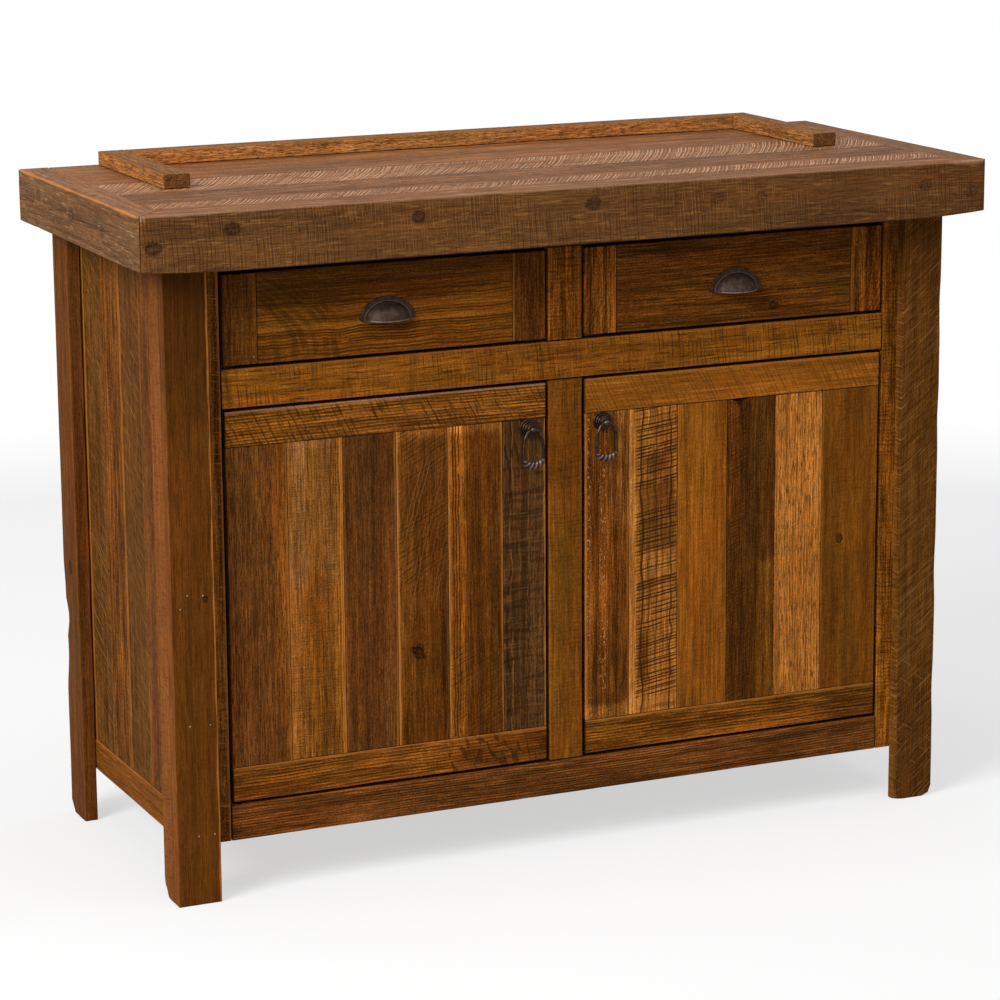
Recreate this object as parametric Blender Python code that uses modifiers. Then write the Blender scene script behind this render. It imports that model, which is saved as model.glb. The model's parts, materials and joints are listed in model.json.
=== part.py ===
"""Reclaimed-wood buffet cabinet: two drawers over two doors, on board legs, with a gallery rail on its top.

Metres, +Z up. The front faces -Y, +X runs to the right along the front, and the origin is on the floor
under the middle of the top. Left and right are as seen from the front.
"""

import math

import bmesh
import bpy
from mathutils import Matrix, Vector

# Top: planks inside a thick edge on three sides
TOP_WIDTH = 1.2192
TOP_DEPTH = 0.508
TOP_HEIGHT = 0.9144
TOP_PLANK_THICKNESS = 0.019
TOP_PLANK_SHARES = (124, 75, 110, 80, 78)
EDGE_BEAM_HEIGHT = 0.070
EDGE_BEAM_THICKNESS = 0.043
BACK_OVERHANG = 0.002

# Gallery rail on the top
GALLERY_HEIGHT = 0.019
GALLERY_WIDTH = 0.036
GALLERY_ARM_LENGTH = 0.276
GALLERY_SIDE_SETBACK = 0.111
GALLERY_BACK_SETBACK = 0.008

# Legs
LEG_THICKNESS = 0.019
FRONT_LEG_WIDTH = 0.0594
FRONT_LEG_DEPTH = 0.0582
BACK_LEG_DEPTH = 0.062

# Case and its face frame
FLOOR_CLEARANCE = 0.0745
FRAME_THICKNESS = 0.019
OUTER_STILE_WIDTH = 0.0627
CENTRE_STILE_WIDTH = 0.0508
BOTTOM_RAIL_HEIGHT = 0.0487
MID_RAIL_HEIGHT = 0.0525
TOP_RAIL_HEIGHT = 0.067
DRAWER_OPENING_HEIGHT = 0.1255
SIDE_THICKNESS = 0.019
SIDE_RAIL_HEIGHT = 0.0435
SIDE_PLANK_SHARES = (121, 82, 76, 79, 67)
BACK_THICKNESS = 0.006
FLOOR_THICKNESS = 0.019
SHELF_THICKNESS = 0.019
SHELF_LIFT = 0.25
SHELF_SETBACK = 0.03
SHELF_DADO_DEPTH = 0.006

# Drawers and their runners
DRAWER_FRONT_THICKNESS = 0.019
BATTEN_WIDTH = 0.0477
DRAWER_SIDE_CLEARANCE = 0.0065
DRAWER_HEADROOM = 0.027
DRAWER_BACK_CLEARANCE = 0.055
DRAWER_WALL = 0.012
DRAWER_BOTTOM_THICKNESS = 0.006
DRAWER_BOTTOM_LIFT = 0.008
DRAWER_GROOVE_DEPTH = 0.005
RUNNER_LEDGE = 0.019
RUNNER_THICKNESS = 0.019
RUNNER_GUIDE_HEIGHT = 0.040
SLIDE_CLEARANCE = 0.0005

# Doors and the pivots that carry them
DOOR_THICKNESS = 0.019
DOOR_RAIL_HEIGHT = 0.047
LEFT_DOOR_PLANK_SHARES = (84, 78, 75, 74, 80, 63)
RIGHT_DOOR_PLANK_SHARES = (66, 74, 76, 74, 74, 88)
PIVOT_DIAMETER = 0.006
PIVOT_EDGE_INSET = 0.010
PIVOT_FACE_INSET = 0.006
PIVOT_DOOR_DEPTH = 0.014
PIVOT_RAIL_DEPTH = 0.012

# Cup pulls of the drawers
CUP_WIDTH = 0.078
CUP_HEIGHT = 0.031
CUP_PROJECTION = 0.022
CUP_FLANGE = 0.0085
CUP_SHEET = 0.0016

# Ring pulls of the doors
RING_EDGE_INSET = 0.026
RING_DROP = 0.0595
ROSETTE_RADIUS = 0.0135
ROSETTE_STEPS = 3
ROSETTE_STEP_HEIGHT = 0.0022
ROSETTE_STEP_INSET = 0.0026
NECK_RADIUS = 0.003
NECK_LENGTH = 0.003
BALL_RADIUS = 0.005
RING_WIRE_RADIUS = 0.0017
RING_GRIP_SWELL = 1.5
RING_SHOULDER = 0.006
RING_HALF_WIDTH = 0.0148
RING_UPPER_LENGTH = 0.039
RING_LOWER_LENGTH = 0.012
RING_PLAY = 0.0005

# Fits and edges
SEAM = 0.0003
REVEAL = 0.0025
EDGE_EASE = 0.0012
SEAM_GROOVE_DEPTH = 0.002
CUT_MARGIN = 0.01
MERGE_DISTANCE = 1e-6
ROUND_SIDES = 24
ARC_STEPS = 8
SHARP_ANGLE = math.radians(40)
QUARTER_TURN = math.radians(90)

# Finishes
WEATHERED_BROWN = (0.150, 0.075, 0.035)
GREY_BROWN = (0.130, 0.075, 0.042)
PLAIN_BROWN = (0.130, 0.055, 0.018)
RED_BROWN = (0.115, 0.040, 0.012)
DARK_BROWN = (0.070, 0.030, 0.010)
GOLDEN_BROWN = (0.200, 0.085, 0.018)
SAWN_ORANGE = (0.260, 0.105, 0.022)
INSIDE_WOOD = (0.280, 0.160, 0.070)
BRONZE = (0.035, 0.026, 0.022)
STEEL = (0.45, 0.45, 0.46)
WOOD_ROUGHNESS = 0.75
BRONZE_ROUGHNESS = 0.42
STEEL_ROUGHNESS = 0.35

# Planes that the pieces share
half_width = TOP_WIDTH / 2
half_depth = TOP_DEPTH / 2
overhang = EDGE_BEAM_THICKNESS + SEAM
leg_face_x = half_width - overhang
leg_front_y = overhang - half_depth
frame_front_y = leg_front_y + LEG_THICKNESS + SEAM
frame_back_y = frame_front_y + FRAME_THICKNESS
side_face_x = leg_face_x - LEG_THICKNESS - SEAM
side_inner_x = side_face_x - SIDE_THICKNESS
case_back_y = half_depth - BACK_OVERHANG
case_low_z = FLOOR_CLEARANCE
case_top_z = TOP_HEIGHT - TOP_PLANK_THICKNESS - SEAM
inside_front_y = frame_back_y + SEAM
inside_back_y = case_back_y - BACK_THICKNESS - SEAM

# Openings of the face frame
opening_outer_x = side_face_x - OUTER_STILE_WIDTH
opening_inner_x = CENTRE_STILE_WIDTH / 2
bottom_rail_top_z = case_low_z + BOTTOM_RAIL_HEIGHT
drawer_opening_top_z = case_top_z - TOP_RAIL_HEIGHT
drawer_opening_low_z = drawer_opening_top_z - DRAWER_OPENING_HEIGHT
mid_rail_low_z = drawer_opening_low_z - MID_RAIL_HEIGHT

# Fronts inside their openings
front_outer_x = opening_outer_x - REVEAL
front_inner_x = opening_inner_x + REVEAL
door_low_z = bottom_rail_top_z + REVEAL
door_top_z = mid_rail_low_z - REVEAL
drawer_low_z = drawer_opening_low_z + REVEAL
drawer_top_z = drawer_opening_top_z - REVEAL
box_outer_x = opening_outer_x - DRAWER_SIDE_CLEARANCE
box_inner_x = opening_inner_x + DRAWER_SIDE_CLEARANCE
shelf_top_z = bottom_rail_top_z + SHELF_LIFT
shelf_low_z = shelf_top_z - SHELF_THICKNESS

SIDES = ((-1, "left"), (1, "right"))


def clear_scene():
    for old in list(bpy.data.objects):
        bpy.data.objects.remove(old, do_unlink=True)


def new_collection(name):
    made = bpy.data.collections.new(name)
    bpy.context.scene.collection.children.link(made)
    return made


clear_scene()
cabinet = new_collection("buffet_cabinet")
cutters = new_collection("cutters")


def across(side, near, far):
    """The low and high x of what runs from near to far off the middle, on one side (-1 left, 1 right)."""
    return tuple(sorted((side * near, side * far)))


def finish(piece, tint, roughness=WOOD_ROUGHNESS, metallic=0.0):
    material = bpy.data.materials.new(piece.name + "_finish")
    material.use_nodes = True
    shader = material.node_tree.nodes["Principled BSDF"]
    shader.inputs["Base Color"].default_value = (*tint, 1.0)
    shader.inputs["Roughness"].default_value = roughness
    shader.inputs["Metallic"].default_value = metallic
    piece.data.materials.append(material)


def put(piece, place, parent=None):
    """Links a piece with its origin at a world place, under an unturned parent if it has one."""
    cabinet.objects.link(piece)
    piece.location = place
    if parent:
        piece.parent = parent
        piece.location = Vector(place) - parent.location
    return piece


def joint_empty(name, place):
    return put(bpy.data.objects.new(name, None), place)


def mesh_object(name, shape):
    mesh = bpy.data.meshes.new(name)
    shape.to_mesh(mesh)
    shape.free()
    return bpy.data.objects.new(name, mesh)


def round_shading(piece):
    piece.data.shade_smooth()
    piece.data.set_sharp_from_angle(angle=SHARP_ANGLE)


def box_shape(x, y, z):
    """A box mesh about its own middle, and where that middle is, from its low and high x, y and z."""
    low, high = (Vector(corner) for corner in zip(x, y, z))
    shape = bmesh.new()
    bmesh.ops.create_cube(shape, size=1.0)
    bmesh.ops.scale(shape, vec=high - low, verts=shape.verts)
    return shape, (low + high) / 2


def ease_edges(piece):
    bevel = piece.modifiers.new("eased edges", "BEVEL")
    bevel.width = EDGE_EASE
    bevel.segments = 1


def board(name, x, y, z, tint, parent=None):
    shape, middle = box_shape(x, y, z)
    piece = put(mesh_object(name, shape), middle, parent)
    ease_edges(piece)
    finish(piece, tint)
    return piece


def add_cutter(cutter, place=(0, 0, 0)):
    cutters.objects.link(cutter)
    cutter.location = place
    cutter.hide_render = True
    cutter.display_type = "WIRE"
    return cutter


def box_cutter(name, x, y, z):
    shape, middle = box_shape(x, y, z)
    return add_cutter(mesh_object(name, shape), middle)


def cut(piece, cutter):
    difference = piece.modifiers.new(cutter.name, "BOOLEAN")
    difference.operation = "DIFFERENCE"
    difference.solver = "EXACT"
    difference.object = cutter


def seams(low, high, shares):
    """Where planks of these relative widths meet, from low to high."""
    met = []
    covered = 0
    for share in shares[:-1]:
        covered += share
        met.append(low + (high - low) * covered / sum(shares))
    return met


def groove_cutter(name, lines, z):
    """Square bars set on edge along upright seam lines, each given as (x, y), to cut V grooves."""
    bar_side = SEAM_GROOVE_DEPTH * math.sqrt(2)
    bar_length = z[1] - z[0] + 2 * CUT_MARGIN
    shape = bmesh.new()
    for x, y in lines:
        bar = bmesh.ops.create_cube(shape, size=1.0)["verts"]
        bmesh.ops.scale(shape, vec=(bar_side, bar_side, bar_length), verts=bar)
        bmesh.ops.rotate(shape, cent=(0, 0, 0), matrix=Matrix.Rotation(QUARTER_TURN / 2, 3, "Z"), verts=bar)
        bmesh.ops.translate(shape, vec=(x, y, sum(z) / 2), verts=bar)
    return add_cutter(mesh_object(name, shape))


def rod_shape(radius, length):
    shape = bmesh.new()
    bmesh.ops.create_cone(
        shape, cap_ends=True, segments=ROUND_SIDES, radius1=radius, radius2=radius, depth=length
    )
    return shape


# Top


def top_planks():
    beam_inner_x = half_width - EDGE_BEAM_THICKNESS
    back_y = half_depth
    front_y = EDGE_BEAM_THICKNESS - half_depth
    joints = [back_y, *seams(back_y, front_y, TOP_PLANK_SHARES), front_y]
    z = (TOP_HEIGHT - TOP_PLANK_THICKNESS, TOP_HEIGHT)
    tints = (WEATHERED_BROWN, GREY_BROWN)
    for number, (back, front) in enumerate(zip(joints, joints[1:]), start=1):
        plank_back = back - SEAM if number > 1 else back
        plank_front = front + SEAM if number == len(TOP_PLANK_SHARES) else front
        x = (SEAM - beam_inner_x, beam_inner_x - SEAM)
        board(f"top_plank_{number}", x, (plank_front, plank_back), z, tints[number % 2])


def mitre(shape, corner, outward):
    """Cuts a beam's end off along an upright plane through a corner, half a seam short of it."""
    normal = Vector(outward).normalized()
    whole = shape.verts[:] + shape.edges[:] + shape.faces[:]
    plane_at = Vector(corner) - normal * SEAM / 2
    made = bmesh.ops.bisect_plane(
        shape, geom=whole, plane_co=plane_at, plane_no=normal, clear_outer=True
    )
    rim = [edge for edge in made["geom_cut"] if isinstance(edge, bmesh.types.BMEdge)]
    bmesh.ops.contextual_create(shape, geom=rim)


def edge_beam(name, x, y, mitres):
    shape, middle = box_shape(x, y, (TOP_HEIGHT - EDGE_BEAM_HEIGHT, TOP_HEIGHT))
    for corner, outward in mitres:
        mitre(shape, Vector(corner) - middle, outward)
    bmesh.ops.recalc_face_normals(shape, faces=shape.faces)
    piece = put(mesh_object(name, shape), middle)
    ease_edges(piece)
    finish(piece, WEATHERED_BROWN)


def edge_beams():
    left_corner = (-half_width, -half_depth, TOP_HEIGHT)
    right_corner = (half_width, -half_depth, TOP_HEIGHT)
    front_y = (-half_depth, EDGE_BEAM_THICKNESS - half_depth)
    front_mitres = ((left_corner, (-1, 1, 0)), (right_corner, (1, 1, 0)))
    edge_beam("front_edge_beam", (-half_width, half_width), front_y, front_mitres)
    for side, hand in SIDES:
        corner = (side * half_width, -half_depth, TOP_HEIGHT)
        x = across(side, half_width - EDGE_BEAM_THICKNESS, half_width)
        edge_beam(f"{hand}_edge_beam", x, (-half_depth, half_depth), ((corner, (-side, -1, 0)),))


def gallery():
    z = (TOP_HEIGHT + SEAM, TOP_HEIGHT + SEAM + GALLERY_HEIGHT)
    outer_x = half_width - GALLERY_SIDE_SETBACK
    inner_x = outer_x - GALLERY_WIDTH
    back_y = half_depth - GALLERY_BACK_SETBACK
    for side, hand in SIDES:
        x = across(side, inner_x, outer_x)
        board(f"{hand}_gallery_arm", x, (back_y - GALLERY_ARM_LENGTH, back_y), z, GOLDEN_BROWN)
    x = (SEAM - inner_x, inner_x - SEAM)
    board("back_gallery_rail", x, (back_y - GALLERY_WIDTH, back_y), z, SAWN_ORANGE)


# Legs and case


def legs():
    z = (0, case_top_z)
    face_y = (leg_front_y, leg_front_y + LEG_THICKNESS)
    side_y = (face_y[1] + SEAM, leg_front_y + FRONT_LEG_DEPTH)
    for side, hand in SIDES:
        thick_x = across(side, leg_face_x - LEG_THICKNESS, leg_face_x)
        face_x = across(side, leg_face_x - FRONT_LEG_WIDTH, leg_face_x)
        board(f"{hand}_front_leg_face", face_x, face_y, z, PLAIN_BROWN)
        board(f"{hand}_front_leg_side", thick_x, side_y, z, PLAIN_BROWN)
        board(f"{hand}_back_leg", thick_x, (case_back_y - BACK_LEG_DEPTH, case_back_y), z, PLAIN_BROWN)


def face_frame(pivot_bores):
    y = (frame_front_y, frame_back_y)
    between_stiles = (SEAM - opening_outer_x, opening_outer_x - SEAM)
    for side, hand in SIDES:
        stile_x = across(side, opening_outer_x, side_face_x)
        board(f"{hand}_stile", stile_x, y, (case_low_z, case_top_z), PLAIN_BROWN)
    board("top_rail", between_stiles, y, (drawer_opening_top_z, case_top_z), PLAIN_BROWN)
    mid_rail = board("mid_rail", between_stiles, y, (mid_rail_low_z, drawer_opening_low_z), GOLDEN_BROWN)
    bottom_rail = board("bottom_rail", between_stiles, y, (case_low_z, bottom_rail_top_z), DARK_BROWN)
    centre_x = (-opening_inner_x, opening_inner_x)
    upper_z = (drawer_opening_low_z + SEAM, drawer_opening_top_z - SEAM)
    lower_z = (bottom_rail_top_z + SEAM, mid_rail_low_z - SEAM)
    board("upper_centre_stile", centre_x, y, upper_z, PLAIN_BROWN)
    board("lower_centre_stile", centre_x, y, lower_z, PLAIN_BROWN)
    for upper_bore, lower_bore in pivot_bores:
        cut(mid_rail, upper_bore)
        cut(bottom_rail, lower_bore)


def case_sides():
    y = (inside_front_y, case_back_y)
    rail_top_z = case_low_z + SIDE_RAIL_HEIGHT
    panel_z = (rail_top_z + SEAM, case_top_z)
    dado_y = (y[0] - CUT_MARGIN, y[1] + CUT_MARGIN)
    dado_z = (shelf_low_z - SEAM, shelf_top_z + SEAM)
    for side, hand in SIDES:
        x = across(side, side_inner_x, side_face_x)
        board(f"{hand}_side_rail", x, y, (case_low_z, rail_top_z), RED_BROWN)
        panel = board(f"{hand}_side_panel", x, y, panel_z, RED_BROWN)
        lines = [(side * side_face_x, seam_y) for seam_y in seams(*y, SIDE_PLANK_SHARES)]
        cut(panel, groove_cutter(f"{hand}_side_grooves", lines, panel_z))
        dado_x = across(side, side_inner_x - CUT_MARGIN, side_inner_x + SHELF_DADO_DEPTH)
        cut(panel, box_cutter(f"{hand}_shelf_dado", dado_x, dado_y, dado_z))


def case_inside():
    x = (SEAM - side_inner_x, side_inner_x - SEAM)
    back_y = (case_back_y - BACK_THICKNESS, case_back_y)
    board("back_panel", x, back_y, (case_low_z, case_top_z), INSIDE_WOOD)
    floor_z = (bottom_rail_top_z - FLOOR_THICKNESS, bottom_rail_top_z)
    board("cabinet_floor", x, (inside_front_y, inside_back_y), floor_z, INSIDE_WOOD)
    shelf_end_x = side_inner_x + SHELF_DADO_DEPTH - SEAM
    shelf_y = (frame_back_y + SHELF_SETBACK, inside_back_y)
    board("shelf", (-shelf_end_x, shelf_end_x), shelf_y, (shelf_low_z, shelf_top_z), INSIDE_WOOD)


def runner(name, outline):
    """A drawer runner: its section, as (x, z) points, drawn out from the face frame to the back panel."""
    section = bpy.data.curves.new(name, "CURVE")
    section.dimensions = "2D"
    section.fill_mode = "BOTH"
    section.extrude = (inside_back_y - inside_front_y) / 2
    spline = section.splines.new("POLY")
    spline.points.add(len(outline) - 1)
    for point, (x, z) in zip(spline.points, outline):
        point.co = (x, z - drawer_opening_low_z, 0, 1)
    spline.use_cyclic_u = True
    middle_y = (inside_front_y + inside_back_y) / 2
    piece = put(bpy.data.objects.new(name, section), (0, middle_y, drawer_opening_low_z))
    piece.rotation_euler.x = QUARTER_TURN
    finish(piece, INSIDE_WOOD)


def runners():
    low_z = drawer_opening_low_z - RUNNER_THICKNESS
    ledge_z = drawer_opening_low_z
    guide_z = drawer_opening_low_z + RUNNER_GUIDE_HEIGHT
    wall_x = side_inner_x - SEAM
    guide_x = box_outer_x + SLIDE_CLEARANCE
    ledge_x = box_outer_x - RUNNER_LEDGE
    wall = ((wall_x, guide_z), (wall_x, low_z))
    ledge = ((ledge_x, low_z), (ledge_x, ledge_z))
    guide = ((guide_x, ledge_z), (guide_x, guide_z))
    for side, hand in SIDES:
        runner(f"{hand}_drawer_runner", [(side * x, z) for x, z in wall + ledge + guide])
    rib_x = box_inner_x - SLIDE_CLEARANCE
    tee_x = box_inner_x + RUNNER_LEDGE
    half_tee = ((tee_x, low_z), (tee_x, ledge_z), (rib_x, ledge_z), (rib_x, guide_z))
    runner("centre_drawer_runner", [*half_tee, *((-x, z) for x, z in reversed(half_tee))])


# Drawers


def cup_pull(name, place, parent):
    """A cup open below, half turned: a flange on the drawer and a dome, as sheet over its inner face."""
    half_cup = CUP_WIDTH / 2
    flange_share = 1 - CUP_FLANGE / half_cup
    dome = CUP_PROJECTION - CUP_SHEET
    profile = [(1.0, 0.0)]
    for step in range(ARC_STEPS + 1):
        angle = QUARTER_TURN * step / ARC_STEPS
        profile.append((flange_share * math.cos(angle), dome * math.sin(angle)))
    shape = bmesh.new()
    points = [shape.verts.new((radius, -rise, 0)) for radius, rise in profile]
    lines = [shape.edges.new(pair) for pair in zip(points, points[1:])]
    bmesh.ops.spin(
        shape, geom=points + lines, cent=(0, 0, 0), axis=(0, -1, 0), angle=math.pi, steps=ROUND_SIDES
    )
    bmesh.ops.remove_doubles(shape, verts=shape.verts, dist=MERGE_DISTANCE)
    bmesh.ops.scale(shape, vec=(half_cup, 1, CUP_HEIGHT), verts=shape.verts)
    bmesh.ops.recalc_face_normals(shape, faces=shape.faces)
    piece = put(mesh_object(name, shape), Vector(place) - Vector((0, SEAM, 0)), parent)
    sheet = piece.modifiers.new("sheet", "SOLIDIFY")
    sheet.thickness = CUP_SHEET
    sheet.offset = -1
    sheet.use_even_offset = True
    round_shading(piece)
    finish(piece, BRONZE, BRONZE_ROUGHNESS, 1.0)


def drawer(side, hand):
    name = f"{hand}_drawer"
    front_back_y = frame_front_y + DRAWER_FRONT_THICKNESS
    middle_x = side * (front_inner_x + front_outer_x) / 2
    middle_z = (drawer_low_z + drawer_top_z) / 2
    slide = joint_empty(f"{name}_slide", (middle_x, frame_front_y, middle_z))

    front_y = (frame_front_y, front_back_y)
    front_z = (drawer_low_z, drawer_top_z)
    inner_batten_x = front_inner_x + BATTEN_WIDTH
    outer_batten_x = front_outer_x - BATTEN_WIDTH
    board_x = across(side, inner_batten_x + SEAM, outer_batten_x - SEAM)
    board(f"{name}_front", board_x, front_y, front_z, GOLDEN_BROWN, slide)
    inner_x = across(side, front_inner_x, inner_batten_x)
    outer_x = across(side, outer_batten_x, front_outer_x)
    board(f"{name}_inner_batten", inner_x, front_y, front_z, DARK_BROWN, slide)
    board(f"{name}_outer_batten", outer_x, front_y, front_z, DARK_BROWN, slide)

    box_y = (front_back_y + SEAM, inside_back_y - DRAWER_BACK_CLEARANCE)
    box_low_z = drawer_opening_low_z + SEAM
    box_z = (box_low_z, box_low_z + DRAWER_OPENING_HEIGHT - DRAWER_HEADROOM)
    box = board(f"{name}_box", across(side, box_inner_x, box_outer_x), box_y, box_z, INSIDE_WOOD, slide)
    inside_y = (box_y[0] + DRAWER_WALL, box_y[1] - DRAWER_WALL)
    inside_z = (box_z[0] - CUT_MARGIN, box_z[1] + CUT_MARGIN)
    inside_x = across(side, box_inner_x + DRAWER_WALL, box_outer_x - DRAWER_WALL)
    cut(box, box_cutter(f"{name}_inside", inside_x, inside_y, inside_z))

    bottom_low_z = box_low_z + DRAWER_BOTTOM_LIFT
    bottom_z = (bottom_low_z, bottom_low_z + DRAWER_BOTTOM_THICKNESS)
    groove_z = (bottom_z[0] - SEAM, bottom_z[1] + SEAM)
    groove_x = (inside_x[0] - DRAWER_GROOVE_DEPTH, inside_x[1] + DRAWER_GROOVE_DEPTH)
    groove_y = (inside_y[0] - DRAWER_GROOVE_DEPTH, inside_y[1] + DRAWER_GROOVE_DEPTH)
    cut(box, box_cutter(f"{name}_bottom_groove", groove_x, groove_y, groove_z))
    bottom_x = (groove_x[0] + SEAM, groove_x[1] - SEAM)
    bottom_y = (groove_y[0] + SEAM, groove_y[1] - SEAM)
    board(f"{name}_bottom", bottom_x, bottom_y, bottom_z, INSIDE_WOOD, slide)

    cup_pull(f"{name}_cup_pull", (middle_x, frame_front_y, middle_z - CUP_HEIGHT / 2), slide)


# Doors


def pivot(side, hand):
    """A door's two pivot pins. Gives their axis, and the cutters of the bores in the door and the frame."""
    pivot_x = side * (front_outer_x - PIVOT_EDGE_INSET)
    pivot_y = frame_front_y + PIVOT_FACE_INSET
    upper_z = (door_top_z - PIVOT_DOOR_DEPTH, mid_rail_low_z + PIVOT_RAIL_DEPTH)
    lower_z = (bottom_rail_top_z - PIVOT_RAIL_DEPTH, door_low_z + PIVOT_DOOR_DEPTH)
    bores = []
    for end, (low, high) in (("upper", upper_z), ("lower", lower_z)):
        place = (pivot_x, pivot_y, (low + high) / 2)
        rod = rod_shape(PIVOT_DIAMETER / 2, high - low - 2 * SEAM)
        pin = put(mesh_object(f"{hand}_door_{end}_pivot", rod), place)
        round_shading(pin)
        finish(pin, STEEL, STEEL_ROUGHNESS, 1.0)
        bore = rod_shape(PIVOT_DIAMETER / 2 + SEAM, high - low)
        bores.append(add_cutter(mesh_object(f"{hand}_{end}_pivot_bore", bore), place))
    return Vector((pivot_x, pivot_y, 0)), bores


def rosette_profile():
    """(radius, height) points of the stepped rosette, its neck and its ball, from the tip to the base."""
    neck_z = ROSETTE_STEPS * ROSETTE_STEP_HEIGHT
    ball_z = neck_z + NECK_LENGTH + BALL_RADIUS
    neck_angle = math.acos(NECK_RADIUS / BALL_RADIUS)
    profile = []
    for step in range(ARC_STEPS + 1):
        angle = QUARTER_TURN - (QUARTER_TURN + neck_angle) * step / ARC_STEPS
        profile.append((BALL_RADIUS * math.cos(angle), ball_z + BALL_RADIUS * math.sin(angle)))
    profile[0] = (0, profile[0][1])
    profile.append((NECK_RADIUS, neck_z))
    for step in reversed(range(ROSETTE_STEPS)):
        radius = ROSETTE_RADIUS - step * ROSETTE_STEP_INSET
        profile.append((radius, (step + 1) * ROSETTE_STEP_HEIGHT))
        profile.append((radius, step * ROSETTE_STEP_HEIGHT))
    profile.append((0, 0))
    return profile, ball_z


def rosette(name, place, parent, profile, ball_place):
    shape = bmesh.new()
    points = [shape.verts.new((radius, 0, height)) for radius, height in profile]
    for pair in zip(points, points[1:]):
        shape.edges.new(pair)
    piece = put(mesh_object(name, shape), place, parent)
    piece.rotation_euler.x = QUARTER_TURN
    turn = piece.modifiers.new("turned", "SCREW")
    turn.axis = "Z"
    turn.steps = ROUND_SIDES
    turn.render_steps = ROUND_SIDES
    turn.use_merge_vertices = True
    turn.merge_threshold = MERGE_DISTANCE
    turn.use_smooth_shade = False
    bore = mesh_object(f"{name}_bore", rod_shape(RING_WIRE_RADIUS + RING_PLAY, 2 * ROSETTE_RADIUS))
    add_cutter(bore, ball_place)
    bore.rotation_euler.y = QUARTER_TURN
    cut(piece, bore)
    finish(piece, BRONZE, BRONZE_ROUGHNESS, 1.0)


def ring_outline():
    """(x, z, swell) along the ring: a bar through the ball, shoulders widening down, and a fuller grip."""
    half_outline = []
    for step in range(ARC_STEPS + 1):
        angle = QUARTER_TURN * (1 - step / ARC_STEPS)
        widen = (RING_HALF_WIDTH - RING_SHOULDER) * math.cos(angle)
        half_outline.append((RING_SHOULDER + widen, RING_UPPER_LENGTH * (math.sin(angle) - 1), 1.0))
    for step in range(1, ARC_STEPS + 1):
        angle = QUARTER_TURN * step / ARC_STEPS
        swell = 1 + (RING_GRIP_SWELL - 1) * math.sin(angle)
        drop = RING_UPPER_LENGTH + RING_LOWER_LENGTH * math.sin(angle)
        half_outline.append((RING_HALF_WIDTH * math.cos(angle), -drop, swell))
    mirrored = [(-x, z, swell) for x, z, swell in reversed(half_outline[:-1])]
    return half_outline + mirrored


def ring(name, place, parent):
    wire = bpy.data.curves.new(name, "CURVE")
    wire.dimensions = "3D"
    wire.bevel_depth = RING_WIRE_RADIUS
    wire.bevel_resolution = 2
    outline = ring_outline()
    spline = wire.splines.new("POLY")
    spline.points.add(len(outline) - 1)
    for point, (x, z, swell) in zip(spline.points, outline):
        point.co = (x, 0, z, 1)
        point.radius = swell
    spline.use_cyclic_u = True
    piece = put(bpy.data.objects.new(name, wire), place, parent)
    finish(piece, BRONZE, BRONZE_ROUGHNESS, 1.0)


def door(side, hand, shares, hinge_place, bores):
    name = f"{hand}_door"
    hinge = joint_empty(f"{name}_hinge", hinge_place)
    x = across(side, front_inner_x, front_outer_x)
    y = (frame_front_y, frame_front_y + DOOR_THICKNESS)
    top_rail_low_z = door_top_z - DOOR_RAIL_HEIGHT
    bottom_rail_high_z = door_low_z + DOOR_RAIL_HEIGHT
    top_rail = board(f"{name}_top_rail", x, y, (top_rail_low_z, door_top_z), RED_BROWN, hinge)
    low_rail = board(f"{name}_bottom_rail", x, y, (door_low_z, bottom_rail_high_z), RED_BROWN, hinge)
    panel_z = (bottom_rail_high_z + SEAM, top_rail_low_z - SEAM)
    panel = board(f"{name}_planks", x, y, panel_z, GOLDEN_BROWN, hinge)
    lines = [(seam_x, frame_front_y) for seam_x in seams(*x, shares)]
    cut(panel, groove_cutter(f"{name}_grooves", lines, panel_z))
    upper_bore, lower_bore = bores
    cut(top_rail, upper_bore)
    cut(low_rail, lower_bore)

    profile, ball_height = rosette_profile()
    rosette_x = side * (front_inner_x + RING_EDGE_INSET)
    rosette_place = Vector((rosette_x, frame_front_y - SEAM, door_top_z - RING_DROP))
    ball_place = rosette_place - Vector((0, ball_height, 0))
    rosette(f"{name}_rosette", rosette_place, hinge, profile, ball_place)
    ring(f"{name}_ring", ball_place, hinge)


top_planks()
edge_beams()
gallery()
legs()
pivots = {hand: pivot(side, hand) for side, hand in SIDES}
face_frame([bores for _, bores in pivots.values()])
case_sides()
case_inside()
runners()
for side, hand in SIDES:
    drawer(side, hand)
door(-1, "left", LEFT_DOOR_PLANK_SHARES, *pivots["left"])
door(1, "right", RIGHT_DOOR_PLANK_SHARES, *pivots["right"])
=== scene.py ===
"""The looks of a rustic buffet cabinet of reclaimed barn boards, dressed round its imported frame.

Metres, +Z up, the front towards -Y. Every wooden piece is a worn, slightly uneven board in its node's place,
with a finish of its own: stain, growth rings, pores, saw marks, knots, grey weathering and worn edges.
"""

import json
import math
import random

import bmesh
import bpy
from mathutils import Matrix, Vector, noise

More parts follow.
